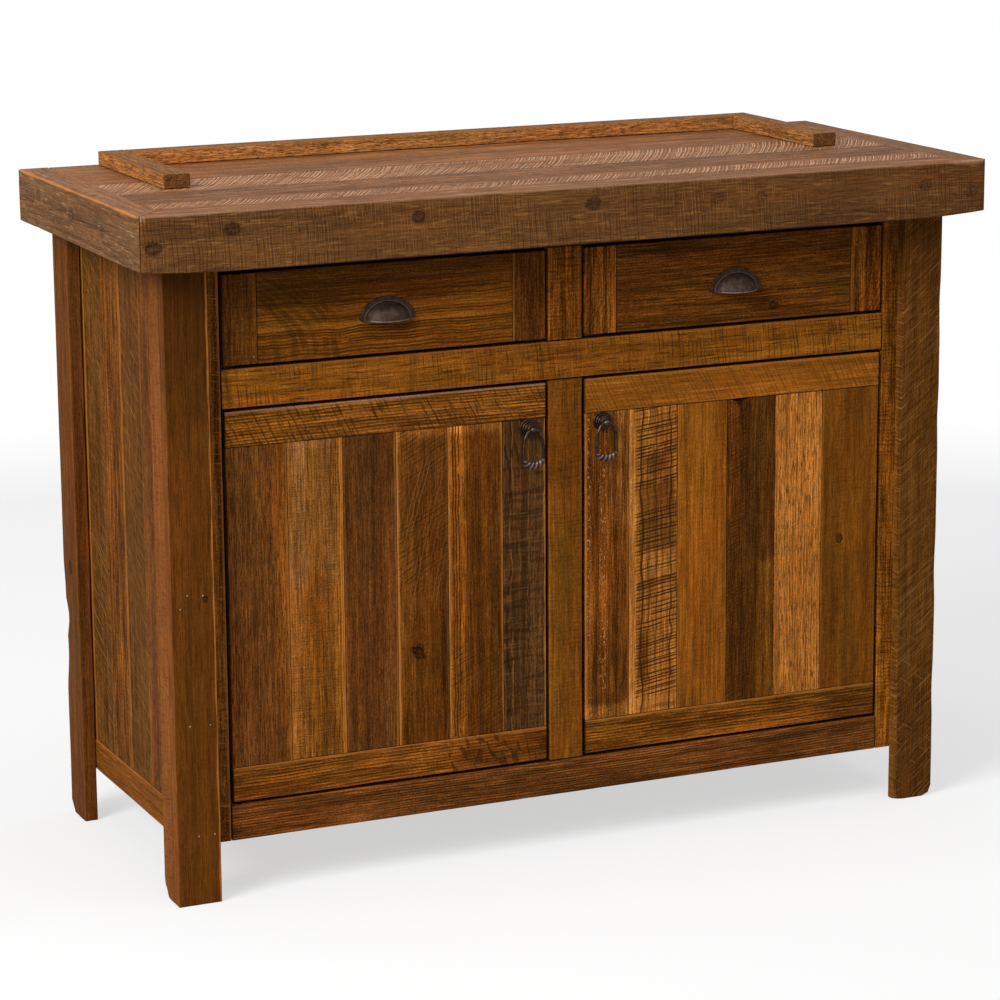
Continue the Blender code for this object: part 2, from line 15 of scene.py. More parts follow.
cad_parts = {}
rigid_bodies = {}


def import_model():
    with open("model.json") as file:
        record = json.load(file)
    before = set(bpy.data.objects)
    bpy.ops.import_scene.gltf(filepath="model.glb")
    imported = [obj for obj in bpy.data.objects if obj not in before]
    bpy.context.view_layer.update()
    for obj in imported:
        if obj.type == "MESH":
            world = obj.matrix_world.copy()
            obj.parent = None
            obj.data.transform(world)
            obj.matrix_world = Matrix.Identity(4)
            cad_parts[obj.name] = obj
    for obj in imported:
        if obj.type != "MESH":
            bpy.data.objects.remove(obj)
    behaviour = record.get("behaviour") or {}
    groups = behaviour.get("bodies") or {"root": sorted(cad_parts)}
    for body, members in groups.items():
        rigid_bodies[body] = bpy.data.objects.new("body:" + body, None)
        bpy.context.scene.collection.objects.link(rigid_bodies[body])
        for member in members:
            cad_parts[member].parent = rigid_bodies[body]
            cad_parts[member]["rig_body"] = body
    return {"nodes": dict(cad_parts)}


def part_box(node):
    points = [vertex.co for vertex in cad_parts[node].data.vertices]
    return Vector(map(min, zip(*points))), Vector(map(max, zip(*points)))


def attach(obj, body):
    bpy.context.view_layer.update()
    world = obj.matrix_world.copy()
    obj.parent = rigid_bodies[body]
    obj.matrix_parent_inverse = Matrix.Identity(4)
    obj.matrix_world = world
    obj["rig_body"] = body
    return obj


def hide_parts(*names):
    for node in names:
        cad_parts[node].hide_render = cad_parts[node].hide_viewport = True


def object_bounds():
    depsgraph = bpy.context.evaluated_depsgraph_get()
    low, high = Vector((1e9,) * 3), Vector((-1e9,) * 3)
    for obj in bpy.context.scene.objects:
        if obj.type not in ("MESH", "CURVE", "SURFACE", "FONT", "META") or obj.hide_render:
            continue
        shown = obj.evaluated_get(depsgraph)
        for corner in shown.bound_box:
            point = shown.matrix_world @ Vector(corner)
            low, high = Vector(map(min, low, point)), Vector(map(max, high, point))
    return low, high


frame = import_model()
cad_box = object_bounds()

SIDES = ((-1, "left"), (1, "right"))
X, Y, Z = 0, 1, 2

# Camera, as the photograph was taken
CAMERA_PLACE = (-1.9615, -4.3496, 1.5333)
CAMERA_YAW = 24.157
CAMERA_PITCH = -12.843
CAMERA_ROLL = -0.396
CAMERA_LENS = 126.64
CAMERA_SENSOR = 36.0

# Board surfaces
ARRIS_STOPS = (0.0, 0.4, 0.75, 1.0, 1.8)
GRID_STEP = 0.011
TOP_CORNER = 0.010
BEAM_SAG = 0.005
BEAM_SAG_END = 0.11
PLANK_GAP = 0.0007
PLANK_SINK = 0.0009
EASE = 0.0011
MERGE_DISTANCE = 0.00001
CRISP_ANGLE = math.radians(50)
FULL_TURN = 2 * math.pi
WEAR_LEAST = 0.25
WEAR_PER_METRE = 9.0
WEAR_FINER = 4.3
SIDES_APART = 3.7
FACES_APART = 5.1
CHIP_START = 0.42
CHIP_DEPTH = 1.6
HOLLOWS_ALONG = 7.0
HOLLOWS_ACROSS = 24.0
HOLLOWS_APART = 9.0

# Pulls
CUP_FLANGE = 0.0085
CUP_FLANGE_STOPS = (0.2, 0.35, 0.5)
CUP_SHEET = 0.0014
CUP_EDGE = 0.0006
CUP_BEAD = 0.0014
CUP_BEAD_WIDTH = 0.0013
CUP_BEAD_RISE = 0.0011
CUP_CORNER = 0.0040
CUP_DOME_START = 6
CUP_LIP = 0.0012
CUP_SHARE = 0.5
CUP_ROUGH = 0.46
# A faint painted highlight over a cup's whole dome.
DOME_HIGHLIGHT = 0.05
BEAD_WORN = 0.5
TURN_STEPS = 56
ROSETTE_STEPS = 3
ROSETTE_STEP_HEIGHT = 0.0022
ROSETTE_STEP_INSET = 0.0026
ROSETTE_ROUND = (0.0013, 0.0011)
ROSETTE_ROUND_RISE = 0.0010
ROSETTE_GROOVE = 0.0003
ROSETTE_GROOVE_DEPTH = 0.0006
NECK_RADIUS = 0.003
NECK_FILLET = (0.0016, 0.0014)
BALL_RADIUS = 0.005
RING_WIRE_AT_BALL = 0.0017
RING_WIRE = 0.0021
RING_SHOULDER = 0.0025
RING_HALF_WIDTH = 0.0144
RING_WIDEST = 0.028
RING_UPPER = 0.039
RING_LOWER = 0.0090
RING_GRIP_TALL = 0.0048
RING_GRIP_DEEP = 0.0032
RING_GRIP_SHARE = 0.13
RING_LOBE = 0.17
RING_STRANDS = 2
RING_TWISTS = 10
RING_STEPS = 240
RING_SIDES = 18
RING_PATTERN = 0.25
PULL_ROUGH = 0.20

# Nails in the left front leg and the left drawer, as x and z
LEG_NAILS = (
    (-0.544, 0.417), (-0.523, 0.415), (-0.554, 0.400), (-0.545, 0.243), (-0.517, 0.242), (-0.537, 0.094),
    (-0.515, 0.094),
)
DRAWER_NAILS = ((-0.4391, 0.7156),)
NAIL_RADIUS = 0.0010
NAIL_FLATNESS = 0.35
NAIL_SINK = 0.0001

# Widths of the planks in a door or the back, from left to right, and in a side, from front to back
LEFT_DOOR_PLANKS = (84, 78, 75, 74, 80, 63)
RIGHT_DOOR_PLANKS = (66, 74, 76, 74, 74, 88)
SIDE_PLANKS = (121, 82, 76, 79, 67)
BACK_PLANKS = (128, 150, 117, 141, 132, 121, 146, 119)

# Stains, as the plain tone of the wood
STAINS = {
    "red brown": (0.160, 0.050, 0.0090),
    "brown": (0.150, 0.046, 0.0050),
    "dark brown": (0.110, 0.034, 0.0040),
    "olive brown": (0.125, 0.044, 0.0060),
    "golden": (0.265, 0.085, 0.0075),
    "honey": (0.410, 0.140, 0.0220),
    "straw": (0.340, 0.150, 0.0380),
    "orange": (0.210, 0.062, 0.0060),
    "weathered": (0.110, 0.044, 0.0110),
    "grey brown": (0.170, 0.068, 0.0180),
    "beam brown": (0.171, 0.0635, 0.0150),
    "pale brown": (0.150, 0.066, 0.0215),
    "top brown": (0.235, 0.088, 0.0260),
    "sawn orange": (0.315, 0.124, 0.0330),
    "inside": (0.330, 0.180, 0.0750),
    "sawn pale": (0.560, 0.325, 0.1850),
}
WORN = (0.480, 0.180, 0.0360)
CHIPPED = (0.600, 0.280, 0.0950)
# Pale colour for upward-facing arrises: partly wear, partly a painted highlight where they face the light
# from above.
WORN_TOP_AND_HIGHLIGHT = (0.380, 0.200, 0.1150)
DIRT = (0.050, 0.020, 0.0070)
REDDER = (1.06, 0.87, 0.78, 1.0)
YELLOWER = (0.95, 1.08, 1.12, 1.0)
END_GRAIN = (0.30, 0.34, 0.42, 1.0)
PALER_WARMTH = (0.0, 0.10, 0.30)
BRIGHTEST = 0.9
INSIDE = dict(stain="inside", contrast=0.3, pores=0.2, hue=0.25)
BRONZE = (0.040, 0.023, 0.015)
BRONZE_WORN = (0.085, 0.054, 0.037)
BRONZE_LIP = (0.360, 0.250, 0.215)
BRONZE_SHARE = 0.9
BLACK_STEEL = (0.006, 0.005, 0.004)
BLACK_STEEL_WORN = (0.012, 0.010, 0.008)
PIN_ROUGH = 0.35
METAL_SHEEN = 0.15
NAIL_STEEL = (0.300, 0.270, 0.230)
NAIL_STEEL_WORN = (0.520, 0.480, 0.430)
NAIL_ROUGH = 0.30

# Tones of the grain from dark to pale, as places on a ramp with factors of the stain, and of grey weathering
GRAIN_TONES = ((0.05, 0.26), (0.32, 0.60), (0.54, 1.0), (0.78, 1.65), (1.0, 2.6))
GREYS = (
    (0.0, (0.014, 0.007, 0.003, 1.0)), (0.5, (0.060, 0.029, 0.010, 1.0)), (1.0, (0.170, 0.090, 0.040, 1.0)),
)

# Features to the metre along a board, across it and through it
RAGGED_RIMS = (18.0, 60.0, 60.0)
RING_WANDER = (2.5, 9.0, 9.0)
RING_DRIFT = (1.4, 2.5, 2.5)
RING_WAVER = (30.0, 210.0, 210.0)
RING_FADING = (7.0, 70.0, 70.0)
FIBRES = (24.0, 500.0, 500.0)
STREAKS = (3.0, 120.0, 120.0)
CLOUDS = (6.0, 24.0, 24.0)
DUST = (360.0, 520.0, 520.0)
SAW_FUZZ = (300.0, 34.0, 60.0)
FUZZY_AREAS = (9.0, 22.0, 22.0)
PORES = (60.0, 720.0, 720.0)
FLECKS = (38.0, 640.0, 640.0)
WARM_AREAS = (4.0, 18.0, 18.0)
GREY_AREAS = (4.5, 34.0, 34.0)
GREY_FIBRES = (20.0, 300.0, 300.0)
MARK_WAVER = (14.0, 20.0, 20.0)
MARKED_AREAS = (7.0, 18.0, 18.0)
KNOT_CRACKS = (170.0, 170.0, 170.0)
METAL_CLOUDS = (140.0, 140.0, 140.0)
METAL_GRAIN = (900.0, 900.0, 900.0)
FURTHEST_NOISE = 60

# Relief, as a bump's strength and distance, and worn arrises and ends
BOARD_BUMP = (0.8, 0.0012)
METAL_BUMP = (0.25, 0.0003)
WORN_WIDTH = 0.0038
WORN_RAGGED = 0.009
END_RIM = 0.0012
END_CORE = 0.0004

# Studio
WHITE = (1.0, 1.0, 1.0, 1.0)
AMBIENT = 0.30
FLOOR_BOUNCE = (0.50, 0.50, 0.50, 1.0)
FLOOR_SEEN = (0.92, 0.92, 0.92, 1.0)
FLOOR_GLOW = 0.6
FLOOR_REACH = 30.0
FLOOR_FADE = (1.1, 3.0)
FLOOR_ROUGH = 0.9
FLOOR_SHEEN = 0.1
LAMP_AIM = (0.0, 0.0, 0.5)
LAMPS = (("overhead_softbox", (0.2, -0.4, 3.6), 2.4, 42.0), ("left_softbox", (-5.2, -2.5, 3.9), 2.8, 420.0))


class Wire:
    """A socket in a node tree. Python's operators on it add Math nodes, and make() adds any other node."""

    def __init__(self, tree, socket=None):
        self.tree = tree
        self.socket = socket

    def make(self, kind, settings=None, inputs=None, output=0):
        """Adds a node, with its settings first and then its sockets' values or links. Gives one output."""
        node = self.tree.nodes.new(kind)
        for name, value in (settings or {}).items():
            if name == "stops":
                self.set_stops(node.color_ramp.elements, value)
            else:
                setattr(node, name, value)
        for name, value in (inputs or {}).items():
            if isinstance(value, Wire):
                self.tree.links.new(value.socket, node.inputs[name])
            else:
                node.inputs[name].default_value = value
        return Wire(self.tree, node.outputs[output])

    @staticmethod
    def set_stops(elements, stops):
        while len(elements) < len(stops):
            elements.new(1.0)
        for element, (position, colour) in zip(elements, stops):
            element.position = position
            element.color = colour

    def other(self, output):
        """Another output of the same node."""
        return Wire(self.tree, self.socket.node.outputs[output])

    def maths(self, operation, *values):
        return self.make("ShaderNodeMath", {"operation": operation}, dict(enumerate(values)))

    def __add__(self, value):
        return self.maths("ADD", self, value)

    def __sub__(self, value):
        return self.maths("SUBTRACT", self, value)

    def __rsub__(self, value):
        return self.maths("SUBTRACT", value, self)

    def __mul__(self, value):
        return self.maths("MULTIPLY", self, value)

    def __truediv__(self, value):
        return self.maths("DIVIDE", self, value)

    def __rtruediv__(self, value):
        return self.maths("DIVIDE", value, self)

    def __pow__(self, value):
        return self.maths("POWER", self, value)

    def __abs__(self):
        return self.maths("ABSOLUTE", self)

    __radd__ = __add__
    __rmul__ = __mul__

    def fraction(self):
        return self.maths("FRACT", self)

    def most(self, value):
        return self.maths("MAXIMUM", self, value)

    def held(self):
        """This value, held between 0 and 1."""
        return self.make("ShaderNodeClamp", inputs={"Value": self})

    def rise(self, low, high):
        """0 below low, 1 above high, and a smooth step between."""
        settings = {"interpolation_type": "SMOOTHSTEP"}
        return self.make("ShaderNodeMapRange", settings, {"Value": self, "From Min": low, "From Max": high})

    def grain(self, stretch, offset, detail=2.0, roughness=0.5):
        """Noise from 0 to 1 in this place, with as many features to the metre as stretch says each way."""
        inputs = {"Vector": self, "Scale": stretch, "Location": offset}
        place = self.make("ShaderNodeMapping", inputs=inputs)
        inputs = {"Vector": place, "Scale": 1.0, "Detail": detail, "Roughness": roughness}
        return self.make("ShaderNodeTexNoise", inputs=inputs)

    def joined(self, across, depth):
        """A place made of this value and two more."""
        return self.make("ShaderNodeCombineXYZ", inputs={"X": self, "Y": across, "Z": depth})

    def mixed(self, share, colour, blend="MIX"):
        """This colour with a share of another colour blended in."""
        settings = {"data_type": "RGBA", "blend_type": blend, "clamp_factor": True}
        return self.make("ShaderNodeMix", settings, {0: share, 6: self, 7: colour}, output=2)


class Board:
    """A board's box, with the axis that its grain runs along and those across and through it."""

    def __init__(self, name, low, high, along):
        size = high - low
        self.name = name
        self.low = low
        self.high = high
        self.middle = (low + high) / 2
        self.half = size / 2
        self.along = along
        others = [axis for axis in (X, Y, Z) if axis != along]
        self.depth, self.across = sorted(others, key=lambda axis: size[axis])
        self.draw = random.Random(name)
        self.offset = Vector(self.somewhere())

    def somewhere(self):
        """A place of its own in the noise, drawn at random."""
        return [self.draw.uniform(0, FURTHEST_NOISE) for _ in range(3)]


def rgba(colour):
    return (*colour, 1.0)


def new_material(name):
    """A new material, and the place on its object as a socket."""
    material = bpy.data.materials.new(name)
    material.use_nodes = True
    return material, Wire(material.node_tree).make("ShaderNodeTexCoord", output="Object")


def wire_shader(material, colour, rough, height, bump, sheen, metallic=0.0):
    """Links a colour, a roughness and a height to a material's shader, and sets what is the same all over."""
    strength, distance = bump
    relief = {"Strength": strength, "Distance": distance, "Height": height}
    normal = height.make("ShaderNodeBump", inputs=relief)
    tree = material.node_tree
    shader = tree.nodes["Principled BSDF"]
    for name, wire in (("Base Color", colour), ("Roughness", rough), ("Normal", normal)):
        tree.links.new(wire.socket, shader.inputs[name])
    shader.inputs["Metallic"].default_value = metallic
    shader.inputs["Specular IOR Level"].default_value = sheen


class Finish:
    """A board's own barn-wood finish, laid on in layers over its stain."""

    def __init__(self, board, stain, tone):
        self.board = board
        self.plain = [channel * tone for channel in STAINS[stain]]
        self.material, place = new_material(board.name + "_finish")
        sides = place.make("ShaderNodeSeparateXYZ", inputs={"Vector": place})
        self.along = sides.other(board.along) - board.middle[board.along]
        self.across = sides.other(board.across) - board.middle[board.across]
        self.depth = sides.other(board.depth) - board.middle[board.depth]
        self.spot = self.along.joined(self.across, self.depth)
        self.ragged = self.noise(RAGGED_RIMS, detail=3.0)

    def noise(self, stretch, detail=2.0, roughness=0.5):
        """Noise about 0, in a place of its own."""
        return self.spot.grain(stretch, self.board.somewhere(), detail, roughness) - 0.5

    def shaded(self, factor):
        """The plain stain made darker or paler."""
        paler = max(0.0, factor - 1.0)
        factors = [factor + paler * more for more in PALER_WARMTH]
        return rgba(min(BRIGHTEST, tone * factor) for tone, factor in zip(self.plain, factors))

    def within(self, along=None, across=None, through=None, soft=0.004):
        """1 inside a stretch of the board, between places in the room, and 0 outside, with a ragged rim."""
        board = self.board
        share = 1.0
        runs = (self.along, self.across, self.depth)
        axes = (board.along, board.across, board.depth)
        for run, axis, stretch in zip(runs, axes, (along, across, through)):
            if stretch:
                low, high = (place - board.middle[axis] for place in stretch)
                run = run + self.ragged * (soft * 3.0)
                share = run.rise(low - soft, low + soft) * (1.0 - run.rise(high - soft, high + soft)) * share
        return share

    def grain(self, contrast, hue, rings, spacing, pith, pores, flecks, sawn, knots):
        """Growth rings about a pith outside the board, fibres, saw fuzz, cloudy stain, pores and flecks."""
        draw = self.board.draw
        wander = self.noise(RING_WANDER)
        drift = self.noise(RING_DRIFT, detail=1.0)
        pith_across = draw.choice((-1, 1)) * pith * self.board.half[self.board.across]
        pith_depth = draw.choice((-1, 1)) * draw.uniform(0.03, 0.06)
        ring_across = self.across + wander * 0.014 - pith_across
        ring_depth = self.depth + drift * 0.06 - pith_depth
        reach = (ring_across * ring_across + ring_depth * ring_depth) ** 0.5
        phase = reach / spacing + self.noise(RING_WAVER, detail=1.0) * 0.5
        for knot in knots:
            near = self.nearness(*knot[:3])
            phase = phase + (1.0 / (near + 1.0)) ** 2.0 * 4.0
        late = phase.fraction() ** 2.2 * (self.noise(RING_FADING) * 2.6 + 1.0)

        fibre = self.noise(FIBRES, detail=2.0, roughness=0.6)
        streak = self.noise(STREAKS, detail=3.0, roughness=0.6)
        cloud = self.noise(CLOUDS, detail=4.0, roughness=0.6)
        dust = self.noise(DUST, detail=1.0)
        fuzz = self.noise(SAW_FUZZ, detail=4.0, roughness=0.7)
        fuzz = fuzz * self.noise(FUZZY_AREAS, detail=1.0).rise(-0.06, 0.16)
        pore = self.noise(PORES, detail=1.0).rise(0.08, 0.15)
        uneven = fibre * 2.0 + streak * 2.0 + cloud * 1.4 + dust * 1.4 + fuzz * (2.2 * sawn)
        shade = 0.5 + uneven * contrast - (late - 0.3) * rings
        stops = [(position, self.shaded(factor)) for position, factor in GRAIN_TONES]
        colour = shade.make("ShaderNodeValToRGB", {"stops": stops}, {"Fac": shade.held()})
        warmth = self.noise(WARM_AREAS, detail=2.0)
        colour = colour.mixed(warmth.rise(0.0, 0.2) * hue, REDDER, "MULTIPLY")
        colour = colour.mixed(warmth.rise(0.0, -0.2) * hue, YELLOWER, "MULTIPLY")
        self.colour = colour.mixed(pore * pores, self.shaded(0.28))
        if flecks:
            fleck = self.noise(FLECKS, detail=1.0).rise(0.08, 0.15)
            self.colour = self.colour.mixed(fleck * flecks, self.shaded(2.2))
        self.height = fibre * 0.7 + fuzz * sawn - pore * (pores * 0.5) - late * (rings * 0.5)
        self.rough = 0.16 - fibre * 0.25 + pore * 0.12

    def weather(self, share):
        """Grey weathering in long patches."""
        patch = self.noise(GREY_AREAS, detail=4.0, roughness=0.65).rise(0.12 - share * 0.4, 0.18)
        fine = self.noise(GREY_FIBRES, detail=3.0, roughness=0.6)
        grey = fine.make("ShaderNodeValToRGB", {"stops": GREYS}, {"Fac": (fine * 1.9 + 0.45).held()})
        self.colour = self.colour.mixed(patch * 0.85, grey)

    def slanted(self, slant):
        """How far a place is along the board and across it, on axes turned by slant degrees."""
        turn = math.radians(slant)
        run = self.along * math.cos(turn) + self.across * math.sin(turn)
        return run, self.across * math.cos(turn) - self.along * math.sin(turn)

    def cut(self, share, shade, stain):
        """Marks laid on the board's colour, raised where they are paler and sunk where they are darker."""
        self.colour = self.colour.mixed(share, rgba(STAINS[stain]) if stain else self.shaded(shade))
        self.height = self.height + share * (0.8 if stain or shade > 1 else -1.0)

    def dashes(self, strength, width, length, slant=0.0, shade=0.25, stain=None, amount=0.5, **stretch):
        """Scratches, cracks or smudges of about this width and length, scattered at random."""
        run, side = self.slanted(slant)
        spot = run.joined(side, self.depth)
        offset = self.board.somewhere()
        through = width if abs(math.sin(math.radians(slant))) > 0.7 else length
        fine = spot.grain((0.45 / width, 0.45 / length, 0.45 / through), offset, detail=1.0)
        limit = 0.70 - amount * 0.2
        dash = fine.rise(limit - 0.05, limit + 0.07) * self.within(**stretch)
        self.cut(dash * strength, shade, stain)

    def marks(
        self, strength, pitch, slant=0.0, bow=0.0, arch=0.0, wave=0.7, shade=0.22, stain=None, thin=0.26,
        patchy=0.6, broken=0.5, **stretch,
    ):
        """Saw marks or scratches, slant degrees off square to the board, each line unlike the next."""
        run, side = self.slanted(slant)
        run = run + self.across * self.across * bow + self.along * self.along * arch
        spot = run.joined(side, self.depth)
        offset = self.board.somewhere()
        count = run / pitch + (spot.grain(MARK_WAVER, offset) - 0.5) * (wave * 2.0)
        line = count.maths("FLOOR", count)
        chance = line.make("ShaderNodeTexWhiteNoise", {"noise_dimensions": "1D"}, {"W": line})
        off = abs(count.fraction() - 0.25 - chance * 0.5)
        stroke = (1.0 - off.rise(thin * 0.5, thin)) * (chance * 7.3).fraction().rise(-0.3, 0.8)
        if broken:
            whole = spot.grain((0.35 / pitch, 45.0, 45.0), offset[::-1])
            stroke = stroke * whole.rise(broken - 0.12, broken + 0.04)
        if patchy:
            area = self.noise(MARKED_AREAS, detail=1.0)
            stroke = stroke * area.rise(patchy * 0.5 - 0.32, patchy * 0.5 - 0.12)
        self.cut(stroke * self.within(**stretch) * strength, shade, stain)

    def specks(self, strength, size, **stretch):
        """Small pale chips scattered over a stretch of the board."""
        chip = self.noise((0.6 / size, 1.0 / size, 1.0 / size), detail=1.0).rise(0.10, 0.16)
        chip = chip * self.within(**stretch, soft=0.003)
        self.colour = self.colour.mixed(chip * strength, rgba(CHIPPED))
        self.height = self.height - chip * strength

    def patch(self, stain, strength=0.8, tone=1.0, soft=0.005, **stretch):
        """A stretch of another tone, which lets the grain show through."""
        share = self.within(soft=soft, **stretch)
        change = [tone * wanted / had for wanted, had in zip(STAINS[stain], self.plain)]
        changed = self.colour.mixed(1.0, rgba(change), "MULTIPLY")
        self.colour = self.colour.mixed(share * strength, changed)

    def nearness(self, along, across, radius):
        """The square of how far a place is from a knot, in the knot's own lengthened radii."""
        run = (self.along - (along - self.board.middle[self.board.along])) / (1.25 * radius)
        side = (self.across - (across - self.board.middle[self.board.across])) / radius
        return run * run + side * side + self.ragged * 1.3

    def knot(self, along, across, radius, strength=0.8):
        """A knot: a dark rim, a greyer core and cracks from its middle."""
        near = self.nearness(along, across, radius)
        core = 1.0 - near.rise(0.4, 1.5)
        rim = core * near.rise(0.2, 0.8)
        crack = abs(self.noise(KNOT_CRACKS, detail=2.0))
        crack = (1.0 - crack.rise(0.01, 0.05)) * core
        self.colour = self.colour.mixed(core * (strength * 0.75), self.shaded(0.42))
        self.colour = self.colour.mixed((rim * 0.55 + crack).held() * strength, self.shaded(0.12))
        self.height = self.height - crack * strength

    def worn_edges(self, low_side, high_side, edge, end_grain):
        """Long arrises worn paler or dirty, or paler as a partly painted highlight where they face up, by a
        strength for each side of the board, and darker ends.
        """
        board = self.board
        half = board.half
        rim = (half[board.across] - abs(self.across)).most(half[board.depth] - abs(self.depth))
        wear = 1.0 - (rim / (self.ragged * WORN_RAGGED + WORN_WIDTH)).rise(0.35, 1.0)
        strength = self.across.rise(-0.001, 0.001) * (high_side - low_side) + low_side
        self.colour = self.colour.mixed(wear * strength, rgba(edge))
        end = abs(self.along).rise(half[board.along] - END_RIM, half[board.along] - END_CORE)
        self.colour = self.colour.mixed(end * end_grain, END_GRAIN, "MULTIPLY")

    def done(self, gloss, sheen):
        rough = (self.rough + gloss).held()
        wire_shader(self.material, self.colour, rough, self.height, BOARD_BUMP, sheen)
        return self.material


def barnwood(
    board, stain, tone=1.0, contrast=0.4, hue=0.7, rings=0.1, spacing=0.0032, pith=1.5, pores=0.3, flecks=0.1,
    sawn=0.4, weather=0.0, dashes=(), marks=(), specks=(), patches=(), knots=(), edges=(0.1, 0.1), edge=WORN,
    end_grain=1.0, gloss=0.45, sheen=0.035,
):
    """A board's finish. Knots and stretches are given by places in the room, along it and across it."""
    finish = Finish(board, stain, tone)
    finish.grain(contrast, hue, rings, spacing, pith, pores, flecks, sawn, knots)
    if weather:
        finish.weather(weather)
    for patch in patches:
        finish.patch(**patch)
    for dash in dashes:
        finish.dashes(**dash)
    for mark in marks:
        finish.marks(**mark)
    for speck in specks:
        finish.specks(**speck)
    for knot in knots:
        finish.knot(*knot)
    finish.worn_edges(*edges, edge, end_grain)
    return finish.done(gloss, sheen)


# Boards


def stops_along(length, arris, step):
    """Where a side of a board is cut: close together at both arrises, and about step apart between."""
    near = [stop * arris for stop in ARRIS_STOPS]
    room = length - 2 * near[-1]
    count = max(2, round(room / step))
    inner = [near[-1] + room * number / count for number in range(1, count)]
    return near + inner + [length - stop for stop in reversed(near)]


def gridded_box(board, arris):
    """A box cut into a grid on all its sides, finer towards its arrises."""
    shape = bmesh.new()
    bmesh.ops.create_cube(shape, size=1.0)
    size = board.high - board.low
    for axis in (X, Y, Z):
        stops = stops_along(size[axis], arris, GRID_STEP)
        lines = [edge for edge in shape.edges if abs(edge.verts[0].co[axis] - edge.verts[1].co[axis]) > 0.5]
        bmesh.ops.subdivide_edges(shape, edges=lines, cuts=len(stops) - 2, use_grid_fill=True)
        for vertex in shape.verts:
            number = round((vertex.co[axis] + 0.5) * (len(stops) - 1))
            vertex.co[axis] = stops[number] / size[axis] - 0.5
    bmesh.ops.scale(shape, vec=size, verts=shape.verts)
    bmesh.ops.translate(shape, vec=board.middle, verts=shape.verts)
    return shape


def wear_at(board, run, side, face):
    """How worn a long arris is at a place along the board, from WEAR_LEAST to 1, with a few chips."""
    lane = Vector((run * WEAR_PER_METRE, side * SIDES_APART, face * FACES_APART)) + board.offset
    soft = 0.5 + 0.45 * noise.noise(lane)
    fine = noise.noise(lane * WEAR_FINER)
    chip = max(0.0, fine - CHIP_START) * CHIP_DEPTH
    return min(1.0, max(WEAR_LEAST, soft + 0.15 * fine + chip))


def wear_board(shape, board, arris, uneven, square_ends):
    """Rounds a gridded box's arrises by a radius that varies, and makes its faces a little uneven."""
    along, across, depth = board.along, board.across, board.depth
    reach = ARRIS_STOPS[-1] * arris
    for vertex in shape.verts:
        off = vertex.co - board.middle
        side = math.copysign(1, off[across])
        face = math.copysign(1, off[depth])
        radius = arris * wear_at(board, off[along], side, face)
        inner = Vector()
        for axis in (X, Y, Z):
            rim = board.half[axis] - abs(off[axis])
            if rim < reach:
                rim *= radius / arris
            off[axis] = math.copysign(board.half[axis] - rim, off[axis])
            limit = board.half[axis] - (0 if square_ends and axis == along else radius)
            inner[axis] = max(-limit, min(limit, off[axis]))
        out = off - inner
        if out.length > 0:
            off = inner + out.normalized() * radius
        lane = Vector((off[along] * HOLLOWS_ALONG, off[across] * HOLLOWS_ACROSS, face * HOLLOWS_APART))
        hollow = (0.5 + 0.5 * noise.noise(lane + board.offset)) * uneven
        off[depth] -= off[depth] / board.half[depth] * hollow
        vertex.co = board.middle + off


def bitten(shape, bites):
    """Presses places of a board in. Each bite is a centre, a radius and the way and depth that it goes."""
    for centre, radius, push in bites:
        for vertex in shape.verts:
            near = (vertex.co - Vector(centre)).length / radius
            if near < 1:
                vertex.co += Vector(push) * (1 - near * near) ** 2


def body_of(node):
    return frame["nodes"][node]["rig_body"]


def new_piece(name, shape, material):
    """Makes an object of a shape, in one material."""
    mesh = bpy.data.meshes.new(name)
    shape.to_mesh(mesh)
    shape.free()
    mesh.materials.append(material)
    piece = bpy.data.objects.new(name, mesh)
    bpy.context.scene.collection.objects.link(piece)
    return piece


def keep(shape, name, node, material):
    """Makes a finished piece of a shape, riding with a node's body and standing for that node."""
    for face in shape.faces:
        face.smooth = True
    for edge in shape.edges:
        edge.smooth = edge.calc_face_angle(0.0) < CRISP_ANGLE
    piece = new_piece(name, shape, material)
    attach(piece, body_of(node))
    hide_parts(node)
    return piece


def timber(
    node, along, slot, stain, arris=0.0018, uneven=0.0005, box=None, trim=None, name=None, bites=(),
    mitre=None, **look,
):
    """A worn board in a node's place, or in a box that is part of it, with its own barn-wood finish."""
    low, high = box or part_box(node)
    if trim:
        low = low + trim[0]
        high = high - trim[1]
    name = name or node + "_board"
    board = Board(name, low, high, along)
    shape = gridded_box(board, arris)
    wear_board(shape, board, arris, uneven, mitre is not None)
    if mitre:
        mitre(shape, board)
    bitten(shape, bites)
    keep(shape, name, node, barnwood(board, stain, **look))


def scored(strength, pitch, slant=0.0, **more):
    """Saw marks or scratches for a look: how strong, how far apart, and how many degrees off square."""
    return dict(strength=strength, pitch=pitch, slant=slant, **more)


def dashed(strength, width, length, slant=0.0, **more):
    """Scattered dashes for a look: how strong, how wide and long, and how many degrees off square."""
    return dict(strength=strength, width=width, length=length, slant=slant, **more)


# Top


def mitred_front(shape, board):
    """Draws a front beam's ends in with depth, to meet the side beams at 45 degrees, and lifts their foot."""
    for vertex in shape.verts:
        inward = vertex.co.y - board.low.y
        end = max(0.0, 1 - (board.half.x - abs(vertex.co.x)) / BEAM_SAG_END)
        vertex.co.z += BEAM_SAG * end * end * (board.high.z - vertex.co.z) / (2 * board.half.z)
        vertex.co.x *= (board.half.x - inward) / board.half.x
    rounded_corner(shape)


def mitred_side(shape, board):
    """Draws a side beam's front end back with depth from its outer side, to meet the front beam."""
    outer = board.high.x if board.middle.x > 0 else board.low.x
    length = board.high.y - board.low.y
    for vertex in shape.verts:
        inward = abs(vertex.co.x - outer)
        share = (board.high.y - vertex.co.y) / length
        vertex.co.y += inward * share
    rounded_corner(shape)


def drawn_in(vertex, centre, side, below, radius):
    """Brings a vertex that is out to one side of a corner's centre, and below it on an axis, to its round."""
    out = vertex.co - centre
    if out.x * side > 0 > out[below] and out.length > radius:
        vertex.co = centre + out.normalized() * radius


